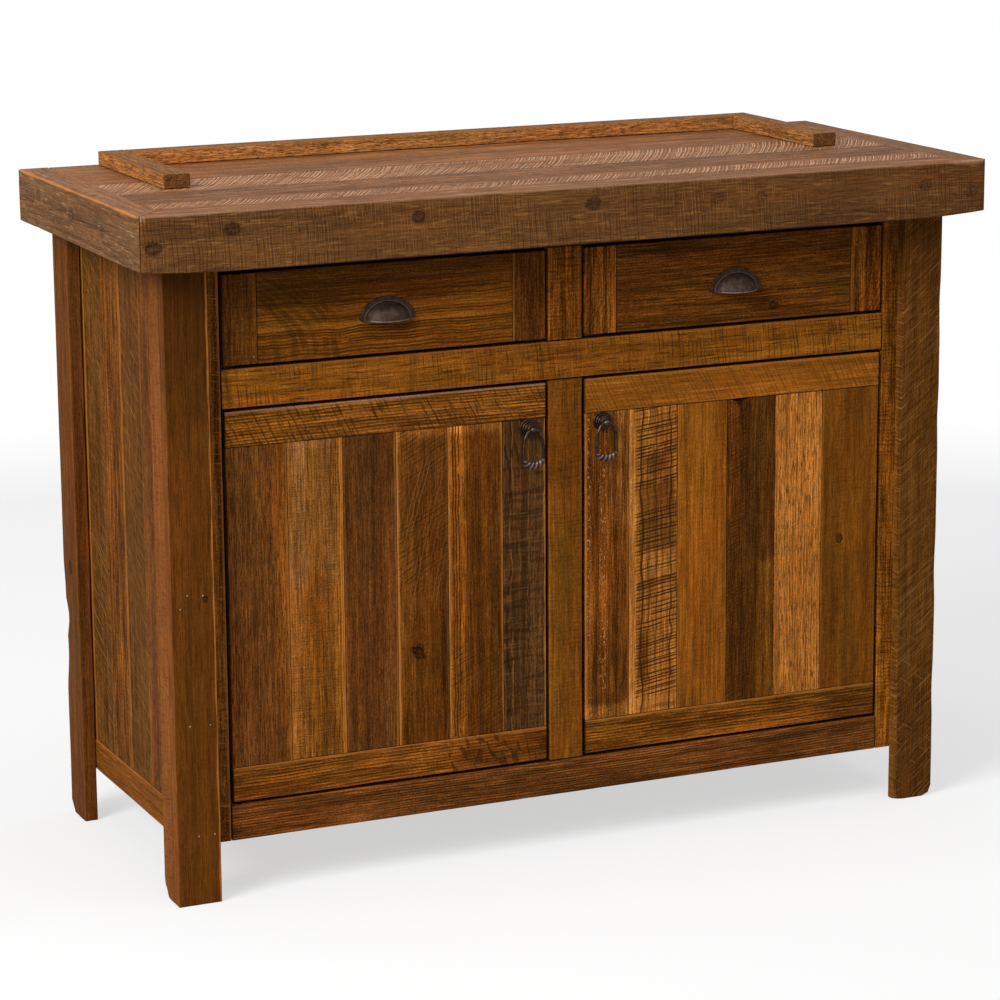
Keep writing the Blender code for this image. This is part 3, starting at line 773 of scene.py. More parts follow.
def rounded_corner(shape):
    """Rounds the top's two front corners, where the mitred beams meet."""
    low, high = cad_box
    for vertex in shape.verts:
        side = math.copysign(1, vertex.co.x)
        centre = Vector((side * (high[X] - TOP_CORNER), low[Y] + TOP_CORNER, vertex.co.z))
        drawn_in(vertex, centre, side, Y, TOP_CORNER)
    bmesh.ops.remove_doubles(shape, verts=shape.verts, dist=MERGE_DISTANCE)


def top():
    table = dict(edges=(0.5, 0.5), edge=DIRT, end_grain=0.0, sheen=0.09, contrast=0.55, sawn=0.2)
    scratch = dashed(0.3, 0.0008, 0.020, -68, stain="sawn pale", amount=0.15)
    smudge = dashed(0.45, 0.008, 0.10, 90, shade=0.6)
    swept = dict(slant=-31, wave=0.5, stain="sawn pale", patchy=0.2)
    broad = scored(0.95, 0.0052, thin=0.22, broken=0.42, **swept)
    fine = scored(0.6, 0.0034, thin=0.24, broken=0.47, **swept)
    timber("top_plank_1", X, "top_wood", "top brown", tone=0.9, flecks=0.2, dashes=[smudge, scratch], **table)
    timber(
        "top_plank_2", X, "top_wood", "top brown", tone=0.83, flecks=0.3, dashes=[smudge, scratch], **table,
    )
    timber(
        "top_plank_3", X, "top_wood", "top brown", tone=0.80, dashes=[smudge],
        marks=[dict(bow=0.8, **broad), dict(bow=0.9, **fine)], **table,
    )
    timber(
        "top_plank_4", X, "top_wood", "top brown", tone=0.62, dashes=[smudge, scratch],
        **{**table, "contrast": 0.85},
    )
    middle = dict(across=(-0.197, -0.152), soft=0.006)
    timber(
        "top_plank_5", X, "top_wood", "top brown", tone=0.74, dashes=[smudge],
        marks=[dict(bow=1.2, **broad, **middle), dict(bow=1.3, **fine, **middle)], **table,
    )

    # Beams' top arrises take a pale colour that is partly wear and partly a painted highlight.
    beam = dict(
        arris=0.0040, uneven=0.0006, contrast=0.34, sawn=0.3, edge=WORN_TOP_AND_HIGHLIGHT, end_grain=0.0, sheen=0.10,
    )
    knots = [
        (-0.590, 0.873, 0.0085), (-0.487, 0.892, 0.009), (-0.235, 0.890, 0.008), (0.012, 0.892, 0.009),
        (0.195, 0.886, 0.007, 0.4), (0.260, 0.885, 0.007, 0.4), (0.512, 0.886, 0.008, 0.5),
        (0.585, 0.872, 0.008, 0.5),
    ]
    pale_cuts = scored(0.48, 0.0044, 4, stain="straw", thin=0.18, patchy=0.45)
    dark_cuts = scored(0.6, 0.0052, 3, shade=0.42, thin=0.22, patchy=0.4, broken=0.48)
    pale_fibres = dashed(0.5, 0.0011, 0.012, 90, stain="straw", amount=0.38)
    dark_fibres = dashed(0.4, 0.0013, 0.020, 88, shade=0.45, amount=0.36)
    upper_face = (0.9125, 0.930)
    worn_rim = dashed(0.4, 0.005, 0.05, 90, stain="sawn pale", across=upper_face)
    shaded_rim = dashed(0.5, 0.005, 0.06, 90, shade=0.55, amount=0.45, across=upper_face)
    timber(
        "front_edge_beam", X, "top_wood", "beam brown", tone=0.84, mitre=mitred_front, knots=knots,
        flecks=0.2, trim=(Vector((0, 0, -BEAM_SAG)), Vector()),
        dashes=[dark_fibres, pale_fibres, worn_rim, shaded_rim], marks=[dark_cuts, pale_cuts],
        patches=[
            dict(stain="top brown", tone=0.85, across=upper_face, soft=0.001),
            dict(
                stain="sawn pale", tone=0.8, along=(-0.62, -0.601), across=(0.907, 0.930), strength=0.6,
                soft=0.003,
            ),
        ],
        edges=(0.0, 0.5), **beam,
    )
    knots = [(0.165, 0.890, 0.008, 0.4), (0.02, 0.882, 0.009, 0.5), (-0.11, 0.878, 0.007, 0.4)]
    flecks = dashed(0.4, 0.0010, 0.010, 92, stain="sawn pale", amount=0.12)
    strokes = scored(0.5, 0.0045, 24, stain="sawn pale", thin=0.2, patchy=0.3, broken=0.48, across=upper_face)
    timber(
        "left_edge_beam", Y, "top_wood", "pale brown", tone=0.98, mitre=mitred_side, knots=knots, rings=0.25,
        pith=0.3, spacing=0.006, flecks=0.2, dashes=[dark_fibres, flecks, shaded_rim], marks=[strokes],
        edges=(0.0, 0.75), patches=[dict(stain="grey brown", tone=1.15, across=upper_face, soft=0.001)],
        **{**beam, "edge": WORN},
    )
    timber(
        "right_edge_beam", Y, "top_wood", "grey brown", tone=0.9, mitre=mitred_side,
        knots=[(0.08, 0.885, 0.009)], dashes=[dark_fibres, flecks], marks=[dark_cuts], edges=(0.0, 0.2),
        **beam,
    )


def gallery():
    rough = dashed(0.6, 0.0005, 0.0042, 90, shade=0.3, amount=0.55)
    look = dict(
        sawn=0.0, pores=0.9, flecks=0.5, dashes=[rough], edges=(0.2, 0.2), end_grain=0.6,
        patches=[dict(stain="grey brown", tone=1.25, through=(0.9325, 0.940), strength=0.9, soft=0.0006)],
    )
    timber("back_gallery_rail", X, "gallery_wood", "sawn orange", tone=1.4, **look)
    for _, hand in SIDES:
        timber(f"{hand}_gallery_arm", Y, "gallery_wood", "sawn orange", tone=1.15, **look)


# Case


def legs():
    left_foot = [((-0.566, -0.150, 0.0), 0.020, (0.0, -0.008, 0.011))]
    foot = [
        ((0.566, -0.211, 0.0), 0.012, (-0.004, 0.0, 0.004)),
        ((0.505, -0.211, 0.0), 0.010, (0.003, 0.0, 0.003)),
    ]
    wavy = [((0.566, -0.211, z), 0.05, (-0.0013, 0.0, 0.0)) for z in (0.16, 0.33, 0.55, 0.71)]
    wane = [
        ((-0.566, 0.252, 0.285), 0.032, (0.003, -0.006, 0.0)),
        ((-0.566, 0.252, 0.0), 0.016, (0.003, -0.004, 0.004)),
        ((-0.566, 0.252, 0.235), 0.060, (0.002, -0.003, 0.0)),
        ((-0.566, 0.252, 0.325), 0.045, (0.001, -0.002, 0.0)),
    ]
    timber(
        "left_front_leg_face", Z, "leg_wood", "brown", tone=0.98, arris=0.0024, contrast=0.24, hue=0.3,
        rings=0.04, edges=(0.0, 0.85), sawn=0.15,
        dashes=[dashed(0.5, 0.005, 0.05, 90, shade=0.55, amount=0.4)],
        patches=[
            # painted shade under the top's overhang, darker towards the leg's top
            dict(stain="dark brown", tone=0.72, along=(0.62, 0.92), soft=0.10, strength=0.9),
            dict(stain="red brown", tone=1.25, across=(-0.58, -0.5652), soft=0.0006, strength=1.0),
        ],
        knots=[(0.41, -0.520, 0.004)],
    )
    timber(
        "left_front_leg_side", Z, "leg_wood", "red brown", tone=1.36, bites=left_foot, contrast=0.26, hue=0.2,
        sawn=0.9, rings=0.04, dashes=[dashed(0.4, 0.0013, 0.010, 10, shade=0.4, amount=0.45)],
        edges=(0.0, 0.0),
        # painted shade under the top's overhang, darker towards the leg's top
        patches=[dict(stain="brown", tone=0.95, along=(0.76, 0.92), strength=0.55, soft=0.06)],
    )
    timber(
        "left_back_leg", Z, "leg_wood", "red brown", tone=0.85, arris=0.0024, bites=wane, contrast=0.35,
        knots=[(0.36, 0.22, 0.008)],
    )
    scratch = dict(strength=0.55, stain="straw")
    rising = dict(width=0.0009, length=0.020, slant=-36, amount=0.16, **scratch)
    steeper = dict(width=0.0009, length=0.016, slant=-42, amount=0.14, **scratch)
    falling = dict(width=0.0009, length=0.016, slant=34, amount=0.10, along=(0.0, 0.28), **scratch)
    rules = dict(pitch=0.017, slant=-37, thin=0.05, wave=0.15, patchy=0.35, broken=0.45, **scratch)
    ledge = scored(0.35, 0.030, 88, stain="straw", thin=0.05, wave=1.0, across=(0.545, 0.57), patchy=0.2)
    dark_cuts = dashed(0.5, 0.002, 0.016, -37, shade=0.4, amount=0.45)
    timber(
        "right_front_leg_face", Z, "leg_wood", "olive brown", tone=1.08, arris=0.0024, bites=foot + wavy,
        dashes=[dark_cuts, rising, steeper, falling], marks=[rules, ledge], edges=(0.0, 0.1),
    )
    timber("right_front_leg_side", Z, "leg_wood", "brown", marks=[scored(0.5, 0.005, 10)])
    timber("right_back_leg", Z, "leg_wood", "red brown", marks=[scored(0.4, 0.005)])


def face_frame():
    both = Vector((EASE, 0, 0))
    rise = Vector((0, 0, EASE))
    none = Vector()
    scribbles = dashed(0.6, 0.0010, 0.012, 8, shade=2.6, amount=0.24)
    timber(
        "left_stile", Z, "frame_wood", "dark brown", tone=1.5, contrast=0.8, dashes=[scribbles],
        edges=(0.0, 0.4), trim=(none, both),
    )
    timber(
        "right_stile", Z, "frame_wood", "golden", tone=0.92, contrast=0.8, flecks=0.3,
        marks=[scored(0.6, 0.0052, 2, thin=0.22, patchy=0.3)], trim=(both, none),
    )
    # The top rail is stained near black as painted shade, for the dark gap under the front beam.
    timber("top_rail", X, "frame_wood", "dark brown", tone=0.2)
    cross_cut = scored(0.65, 0.0062, 5, thin=0.17, patchy=0.35)
    cracks = dashed(0.75, 0.0012, 0.020, 90, shade=0.22, amount=0.30)
    ticks = dashed(0.35, 0.0016, 0.011, 4, shade=1.8, amount=0.28)
    bands = dashed(0.5, 0.006, 0.035, 4, shade=0.6)
    timber(
        "mid_rail", X, "frame_wood", "golden", tone=1.03, sawn=0.5, dashes=[bands, cracks, ticks],
        marks=[cross_cut],
        patches=[dict(stain="golden", tone=1.4, along=(-0.5, -0.445), strength=0.7, soft=0.015)],
        edges=(0.2, 0.3), trim=(rise, rise),
    )
    timber(
        "bottom_rail", X, "frame_wood", "red brown", tone=1.10, rings=0.55, pith=3.0, contrast=0.6,
        spacing=0.0034, dashes=[dashed(0.55, 0.0013, 0.03, 90, shade=0.35, amount=0.45)], trim=(none, rise),
    )
    saw = scored(0.3, 0.0055, thin=0.2, patchy=0.2)
    timber(
        "upper_centre_stile", Z, "frame_wood", "orange", tone=1.03, contrast=0.8, sawn=0.7, marks=[saw],
        trim=(both, both),
    )
    timber(
        "lower_centre_stile", Z, "frame_wood", "golden", tone=0.77, contrast=0.36, sawn=0.6, rings=0.04,
        marks=[saw], trim=(both, both),
    )


def planks(node, axis, shares, slot, looks, face_axis, face_way, ease=0.0, **shared):
    """Separate upright planks side by side along an axis of a node's box, in widths of these shares."""
    low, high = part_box(node)
    low[axis] += ease
    high[axis] -= ease
    start = low[axis]
    per_share = (high[axis] - low[axis]) / sum(shares)
    sink = random.Random(node)
    for number, (share, look) in enumerate(zip(shares, looks), start=1):
        plank_low = low.copy()
        plank_high = high.copy()
        plank_low[axis] = start + PLANK_GAP / 2
        plank_high[axis] = start + share * per_share - PLANK_GAP / 2
        start += share * per_share
        face = plank_low if face_way < 0 else plank_high
        face[face_axis] -= face_way * sink.uniform(0, PLANK_SINK)
        timber(node, Z, slot, box=(plank_low, plank_high), name=f"{node}_{number}", **look, **shared)


def sides():
    scratched = [
        scored(0.55, 0.015, -32, wave=0.2, stain="straw", thin=0.07, patchy=0.45),
        scored(0.40, 0.010, -25, wave=0.2, stain="straw", thin=0.08, broken=0.54),
    ]
    hairs = [dashed(0.5, 0.0010, 0.016, way, stain="straw", amount=0.14) for way in (-36, -28)]
    hatched = scored(0.4, 0.006, -30, patchy=0.5, thin=0.18)
    # Painted shade under the top's overhang, darkening the top of each side panel.
    painted_shade = dict(stain="dark brown", along=(0.79, 0.92), strength=0.4, soft=0.02)
    looks = [
        dict(stain="red brown", tone=0.92, contrast=0.5, marks=[hatched], edges=(0.2, 0.3)),
        dict(stain="olive brown", tone=0.84, dashes=hairs, marks=scratched, edges=(0.1, 0.55)),
        dict(stain="brown", tone=0.90, contrast=0.95, marks=[hatched], edges=(0.4, 0.1)),
        dict(stain="olive brown", tone=0.90, contrast=0.65, dashes=hairs, marks=scratched, edges=(0.1, 0.55)),
        dict(stain="brown", tone=0.7, edges=(0.5, 0.1)),
    ]
    for side, hand in SIDES:
        planks(
            f"{hand}_side_panel", Y, SIDE_PLANKS, "side_wood", looks, X, side, arris=0.0030, patches=[painted_shade],
            hue=0.4, pores=0.5, flecks=0.3,
        )
        timber(f"{hand}_side_rail", Y, "side_wood", "brown", tone=1.35, marks=[hatched], edges=(0.2, 0.4))


def inside():
    for node in ("cabinet_floor", "shelf"):
        timber(node, X, "inside_wood", arris=0.0008, uneven=0.0002, **INSIDE)
    saw = scored(0.45, 0.0055, 6, bow=1.5, thin=0.2, patchy=0.5)
    # The back's planks get paler tones as painted light, lifting the shade that the back stands in.
    stains = [
        (stain, tone)
        for tone in (1.5, 1.75) for stain in ("brown", "red brown", "olive brown", "orange")
    ]
    looks = [dict(stain=stain, tone=tone) for stain, tone in stains]
    planks(
        "back_panel", X, BACK_PLANKS, "inside_wood", looks, Y, 1, arris=0.0012, uneven=0.0002, rings=0.35,
        pith=0.6, spacing=0.0045, pores=0.5, marks=[saw], hue=0.3,
    )
    for node in ("left_drawer_runner", "centre_drawer_runner", "right_drawer_runner"):
        refinish(node, inside_wood(node))


def inside_wood(node):
    """The finish of a plain board that runs from the front to the back."""
    return barnwood(Board(node, *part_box(node), Y), end_grain=0.0, **INSIDE)


def refinish(node, material):
    """Gives a node that keeps its own shape another material."""
    piece = frame["nodes"][node]
    piece.data.materials.clear()
    piece.data.materials.append(material)


# Drawers and doors


def drawers():
    ease = Vector((0, 0, EASE))
    outer_ease = Vector((EASE, 0, EASE))
    swept = scored(0.5, 0.011, 40, bow=6.0, thin=0.4, along=(-0.43, -0.32), patchy=0)
    # A painted shadow below the cup pull.
    shadow = dict(stain="dark brown", along=(-0.286, -0.222), across=(0.728, 0.752), soft=0.008, strength=0.6)
    wavy = scored(0.85, 0.0039, 90, wave=1.3, thin=0.28, patchy=0, broken=0.34, across=(0.700, 0.789))
    timber(
        "left_drawer_front", X, "drawer_wood", "golden", tone=0.97, contrast=0.5, marks=[swept, wavy],
        # painted shade under the top's overhang across the upper edge, then the pull's painted shadow
        patches=[dict(stain="dark brown", tone=0.9, across=(0.782, 0.84), strength=0.85, soft=0.010), shadow],
        edges=(0.1, 0.0), trim=(ease, ease),
    )
    timber(
        "left_drawer_inner_batten", Z, "drawer_wood", "dark brown", tone=1.15, contrast=0.65, hue=0.2,
        edges=(0.4, 0.0), trim=(ease, outer_ease),
    )
    fine = scored(0.4, 0.003, patchy=0.2)
    timber(
        "left_drawer_outer_batten", Z, "drawer_wood", "dark brown", tone=1.05, contrast=0.5, marks=[fine],
        edges=(0.0, 0.1), trim=(outer_ease, ease),
    )
    timber(
        "right_drawer_front", X, "drawer_wood", "brown", contrast=0.6, rings=0.3, pith=3.0, spacing=0.004,
        dashes=[dashed(0.5, 0.0014, 0.03, 90, shade=0.3, amount=0.4)],
        patches=[dict(stain="dark brown", tone=0.9, along=(0.36, 0.45), strength=0.5, soft=0.04)],
        knots=[(0.314, 0.725, 0.006)], edges=(0.1, 0.0), trim=(ease, ease),
    )
    streaked = scored(0.5, 0.006, -60, patchy=0.2)
    timber(
        "right_drawer_inner_batten", Z, "drawer_wood", "orange", tone=0.88, contrast=0.9, marks=[streaked],
        edges=(0.0, 0.3), trim=(outer_ease, ease),
    )
    timber(
        "right_drawer_outer_batten", Z, "drawer_wood", "orange", tone=0.80, contrast=0.9, marks=[streaked],
        edges=(0.2, 0.0), trim=(ease, outer_ease),
    )
    for _, hand in SIDES:
        box = f"{hand}_drawer_box"
        refinish(box, inside_wood(box))
        timber(f"{hand}_drawer_bottom", X, "inside_wood", arris=0.0006, uneven=0.0001, **INSIDE)


def left_door_looks():
    worn_end = dict(stain="honey", along=(0.590, 0.62), strength=0.5, soft=0.008)
    bright_line = scored(0.9, 0.004, 90, shade=2.4, thin=0.22, patchy=0, broken=0.3)
    oak = dict(
        stain="red brown", tone=1.03, contrast=0.45, pores=0.8, sawn=0.1, edges=(0.0, 0.5), flecks=0.3,
        patches=[dict(stain="orange", tone=1.4, across=(-0.412, -0.39), strength=0.75, soft=0.012)],
    )
    straw = dict(
        stain="golden", tone=1.1, sawn=0.6, contrast=0.5, flecks=0.25, edges=(0.3, 0.9),
        patches=[
            worn_end, dict(stain="honey", tone=0.9, across=(-0.40, -0.372), soft=0.010),
            dict(stain="straw", along=(0.40, 0.62), across=(-0.40, -0.33), strength=0.25, soft=0.03),
            dict(stain="olive brown", tone=1.5, across=(-0.352, -0.327), soft=0.010),
        ],
        marks=[
            scored(0.45, 0.0032, 2, patchy=0.3, thin=0.2),
            scored(0.85, 0.008, 90, shade=0.25, thin=0.12, across=(-0.35, -0.325), patchy=0.1),
            dict(across=(-0.329, -0.318), **bright_line),
        ],
    )
    plain = dict(stain="red brown", tone=0.88, contrast=0.45, pores=0.6, sawn=0.2, edges=(0.1, 0.5))
    star = dict(along=(0.286, 0.310), across=(-0.225, -0.205))
    knotty = dict(
        stain="brown", tone=0.90, contrast=0.5, sawn=0.2, edges=(0.9, 0.2),
        patches=[worn_end, dict(stain="orange", tone=1.3, across=(-0.25, -0.236), strength=0.7, soft=0.008)],
        marks=[
            scored(0.5, 0.006, -28, along=(0.38, 0.62), patchy=0.1, thin=0.2),
            scored(
                0.36, 0.0062, 102, arch=-0.4, stain="straw", thin=0.17, wave=0.5, along=(0.36, 0.56),
                across=(-0.232, -0.176), patchy=0, broken=0.36, soft=0.012,
            ),
        ],
        dashes=[dashed(0.9, 0.0016, 0.012, way, shade=0.12, **star) for way in (15, 75, 130)],
        knots=[(0.298, -0.215, 0.007, 0.8)],
    )
    striped = dict(
        stain="orange", tone=0.66, contrast=0.5, sawn=0.2, edges=(0.9, 0.7),
        patches=[worn_end, dict(stain="orange", tone=1.75, across=(-0.19, -0.146), strength=0.9, soft=0.006)],
        marks=[
            scored(0.8, 0.0044, 90, thin=0.24, across=(-0.172, -0.140), patchy=0, broken=0.4),
            scored(0.4, 0.006, -25, along=(0.16, 0.30), patchy=0.1, thin=0.2),
            scored(0.35, 0.014, 88, stain="straw", thin=0.06, wave=1.2, across=(-0.14, -0.10), patchy=0.3),
        ],
    )
    banded = dict(
        stain="weathered", weather=0.5, contrast=0.6, edges=(0.0, 0.9),
        dashes=[
            dashed(0.65, 0.006, 0.03, shade=0.35, amount=0.55, along=(0.19, 0.54), soft=0.01),
            dashed(0.5, 0.0015, 0.02, shade=1.7, amount=0.35, along=(0.19, 0.48), soft=0.01),
        ],
        marks=[
            scored(0.5, 0.012, 1, thin=0.28, along=(0.20, 0.54), patchy=0.3, shade=0.3),
            scored(0.6, 0.011, 90, shade=2.6, thin=0.12, patchy=0.1),
            scored(0.8, 0.014, 90, shade=0.2, thin=0.14, patchy=0.1),
        ],
    )
    return [oak, straw, plain, knotty, striped, banded]


def right_door_looks():
    specked = dict(
        stain="brown", tone=1.32, contrast=0.7, sawn=0.2, edges=(0.5, 0.2),
        patches=[
            dict(stain="honey", along=(0.16, 0.192), strength=0.9),
            dict(stain="honey", tone=0.8, along=(0.44, 0.62), across=(0.066, 0.10), strength=0.9, soft=0.010),
        ],
        marks=[scored(0.5, 0.004, 90, across=(0.066, 0.10), along=(0.42, 0.62), patchy=0.1)],
        specks=[
            dict(strength=0.85, size=0.0022, across=(0.028, 0.0365)),
            dict(strength=0.85, size=0.0024, across=(0.051, 0.060), along=(0.2, 0.56)),
        ],
    )
    smudge = dict(stain="dark brown", strength=0.7, soft=0.008)
    hatched = dict(
        stain="honey", tone=1.22, contrast=0.45, sawn=0.2, edges=(0.2, 0.2),
        patches=[
            dict(stain="honey", tone=1.4, across=(0.09, 0.1045), soft=0.002),
            dict(along=(0.505, 0.535), across=(0.118, 0.150), **smudge),
            dict(along=(0.22, 0.29), across=(0.108, 0.125), **smudge),
            dict(along=(0.40, 0.50), across=(0.112, 0.165), **smudge),
        ],
        dashes=[dashed(0.6, 0.007, 0.03, -8, shade=0.3, amount=0.4, across=(0.107, 0.17))],
        marks=[
            scored(
                0.95, 0.0048, -8, shade=0.10, thin=0.27, wave=0.5, along=(0.195, 0.62), across=(0.1055, 0.18),
                patchy=0, broken=0.38,
            ),
            scored(1.0, 0.0098, 90, shade=0.10, thin=0.17, across=(0.110, 0.167), patchy=0, broken=0.25),
        ],
    )
    plain = dict(stain="golden", tone=1.12, sawn=0.5, rings=0.05)
    smoked = dict(
        stain="dark brown", tone=0.86, weather=0.15, contrast=0.6, sawn=0.1, edges=(0.0, 0.0),
        patches=[
            dict(stain="golden", tone=0.8, along=(0.13, 0.37), across=(0.290, 0.33), soft=0.010),
            dict(stain="brown", along=(0.13, 0.60), across=(0.24, 0.262), strength=0.7, soft=0.010),
        ],
        marks=[scored(0.5, 0.005, -20, shade=0.3, thin=0.2, across=(0.24, 0.275), patchy=0.1)],
        knots=[(0.5965, 0.2630, 0.0045, 1.0)], bites=[((0.264, -0.1914, 0.604), 0.014, (0.0, 0.003, -0.006))],
    )
    bright = dict(
        stain="honey", tone=1.36, contrast=0.36, hue=0.25, pores=0.95, sawn=0.1, rings=0.25, pith=3.0,
        spacing=0.0042, dashes=[dashed(0.65, 0.0009, 0.022, 90, shade=0.35, amount=0.42)],
        marks=[scored(0.5, 0.045, -50, shade=1.9, thin=0.02, along=(0.30, 0.48), patchy=0)],
    )
    mellow = dict(
        stain="golden", tone=0.82, contrast=0.36, sawn=0.6, rings=0.05, knots=[(0.388, 0.422, 0.0050, 1.0)],
        marks=[scored(0.25, 0.006, patchy=0.4)],
        patches=[dict(stain="golden", tone=0.62, along=(0.10, 0.368), strength=0.5)],
    )
    return [specked, hatched, plain, smoked, bright, mellow]


def doors():
    planks("left_door_planks", X, LEFT_DOOR_PLANKS, "door_wood", left_door_looks(), Y, -1, ease=EASE)
    planks("right_door_planks", X, RIGHT_DOOR_PLANKS, "door_wood", right_door_looks(), Y, -1, ease=EASE)
    top_trim = (Vector((EASE, 0, 0)), Vector((EASE, 0, EASE)))
    bottom_trim = (Vector((EASE, 0, EASE)), Vector((EASE, 0, 0)))
    hatch = scored(0.6, 0.0085, 27, thin=0.15, patchy=0.15, broken=0.47, wave=0.15)
    gouges = dashed(0.6, 0.0018, 0.012, 27, amount=0.34)
    wavy = dashed(0.7, 0.0035, 0.010, 20, shade=0.22, along=(-0.2, 0.0), soft=0.03)
    ridged = dict(rings=0.75, pith=4.0, spacing=0.0038, sawn=0.1)
    lines = dashed(0.6, 0.0013, 0.026, 90, amount=0.45)
    timber(
        "left_door_top_rail", X, "door_wood", "golden", tone=0.94, contrast=0.5, dashes=[lines, gouges],
        marks=[hatch],
        patches=[
            dict(
                stain="red brown", tone=1.2, along=(-0.38, 0.0), across=(0.59, 0.632), strength=0.5,
                soft=0.02,
            ),
        ],
        # the top arris is worn paler, with a painted highlight where it faces up
        edges=(0.0, 0.65), edge=WORN_TOP_AND_HIGHLIGHT, trim=top_trim, **ridged,
    )
    timber(
        "left_door_bottom_rail", X, "door_wood", "orange", tone=1.10, contrast=0.6, dashes=[lines, wavy],
        edges=(0.1, 0.5), patches=[dict(stain="dark brown", along=(-0.16, 0.0), strength=0.7, soft=0.03)],
        trim=bottom_trim, **ridged,
    )
    streaks = scored(0.35, 0.0055, 27, patchy=0, broken=0.45, thin=0.2)
    bands = dashed(0.4, 0.005, 0.05, 28, shade=0.62)
    timber(
        "right_door_top_rail", X, "door_wood", "golden", tone=1.3, contrast=0.34, dashes=[bands],
        marks=[streaks], edges=(0.1, 0.4), trim=top_trim,
    )
    timber(
        "right_door_bottom_rail", X, "door_wood", "golden", tone=0.76, contrast=0.6, dashes=[lines],
        edges=(0.1, 0.6), trim=bottom_trim, patches=[dict(stain="dark brown", along=(0.40, 0.50), soft=0.03)],
        **ridged,
    )


# Metal


def metal(name, dark, bright, rough, share=1.0):
    """Cloudy metal, of this metallic share, and brighter where a mesh's worn attribute is set: worn ridges
    and lips, and a faint painted highlight on a cup's dome.
    """
    material, place = new_material(name)
    cloud = place.grain(METAL_CLOUDS, (3.0, 1.0, 2.0), detail=4.0, roughness=0.6)
    fine = place.grain(METAL_GRAIN, (1.0, 5.0, 2.0), detail=2.0)
    tones = {0: cloud.rise(0.40, 0.68), 6: rgba(dark), 7: rgba(bright)}
    colour = place.make("ShaderNodeMix", {"data_type": "RGBA"}, tones, output=2)
    ridges = place.make("ShaderNodeAttribute", {"attribute_name": "worn"}, output="Fac")
    colour = colour.mixed(ridges * (cloud + 0.2), rgba(BRONZE_LIP))
    wire_shader(material, colour, cloud * 0.25 + rough, fine, METAL_BUMP, METAL_SHEEN, share)
    return material


def arc(centre, radii, start, end, steps):
    """Points on part of an ellipse, its angles in degrees."""
    points = []
    for step in range(steps + 1):
        angle = math.radians(start + (end - start) * step / steps)
        points.append((centre[0] + radii[0] * math.cos(angle), centre[1] + radii[1] * math.sin(angle)))
    return points


def turned(profile, turn):
    """A surface of (radius, rise) points turned about the Y axis, with its rise towards the front."""
    shape = bmesh.new()
    points = [shape.verts.new((radius, -rise, 0)) for radius, rise in profile]
    lines = [shape.edges.new(pair) for pair in zip(points, points[1:])]
    whole = turn == FULL_TURN
    bmesh.ops.spin(
        shape, geom=points + lines, cent=(0, 0, 0), axis=(0, -1, 0), angle=turn, steps=TURN_STEPS,
        use_merge=whole,
    )
    bmesh.ops.remove_doubles(shape, verts=shape.verts, dist=MERGE_DISTANCE)
    return shape


def bronze(node, rough, share):
    return metal(node + "_bronze", BRONZE, BRONZE_WORN, rough, share)


def cup_pull(hand):
    """A half-turned cup open below: a flat flange, a bead where the dome starts, and a worn lip."""
    node = f"{hand}_drawer_cup_pull"
    low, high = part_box(node)
    middle = (low.x + high.x) / 2
    half = (high.x - low.x) / 2
    tall = high.z - low.z
    proud = high.y - low.y
    dome_radius = half - CUP_FLANGE
    profile = [(half, 0.0), *arc((half - CUP_EDGE, CUP_SHEET - CUP_EDGE), (CUP_EDGE, CUP_EDGE), 0, 90, 3)]
    profile += [(half - share * CUP_FLANGE, CUP_SHEET) for share in CUP_FLANGE_STOPS]
    profile += arc((dome_radius + CUP_BEAD, CUP_SHEET), (CUP_BEAD_WIDTH, CUP_BEAD_RISE), 0, 180, 8)
    profile += arc((0, 0), (dome_radius, proud), CUP_DOME_START, 90, 22)
    profile[-1] = (0, proud)
    shape = turned(profile, FULL_TURN / 2)
    bmesh.ops.scale(shape, vec=(1, 1, tall / half), verts=shape.verts)
    for vertex in shape.verts:
        side = math.copysign(1, vertex.co.x)
        centre = Vector((side * (half - CUP_CORNER), vertex.co.y, CUP_CORNER))
        drawn_in(vertex, centre, side, Z, CUP_CORNER)
    bmesh.ops.remove_doubles(shape, verts=shape.verts, dist=MERGE_DISTANCE)
    bmesh.ops.recalc_face_normals(shape, faces=shape.faces)
    bmesh.ops.translate(shape, vec=(middle, high.y, low.z), verts=shape.verts)
    worn = shape.verts.layers.float.new("worn")
    for vertex in shape.verts:
        reach = Vector((vertex.co.x - middle, (vertex.co.z - low.z) * half / tall)).length
        # Bead and lip are worn paler; the rest of the dome takes a faint painted highlight.
        vertex[worn] = BEAD_WORN * max(0.0, 1 - abs(reach - dome_radius - CUP_BEAD) / CUP_BEAD)
        if reach < dome_radius:
            vertex[worn] = 1.0 if vertex.co.z < low.z + CUP_LIP else DOME_HIGHLIGHT
    piece = keep(shape, node + "_fine", node, bronze(node, CUP_ROUGH, CUP_SHARE))
    sheet = piece.modifiers.new("sheet", "SOLIDIFY")
    sheet.thickness = CUP_SHEET
    sheet.offset = -1


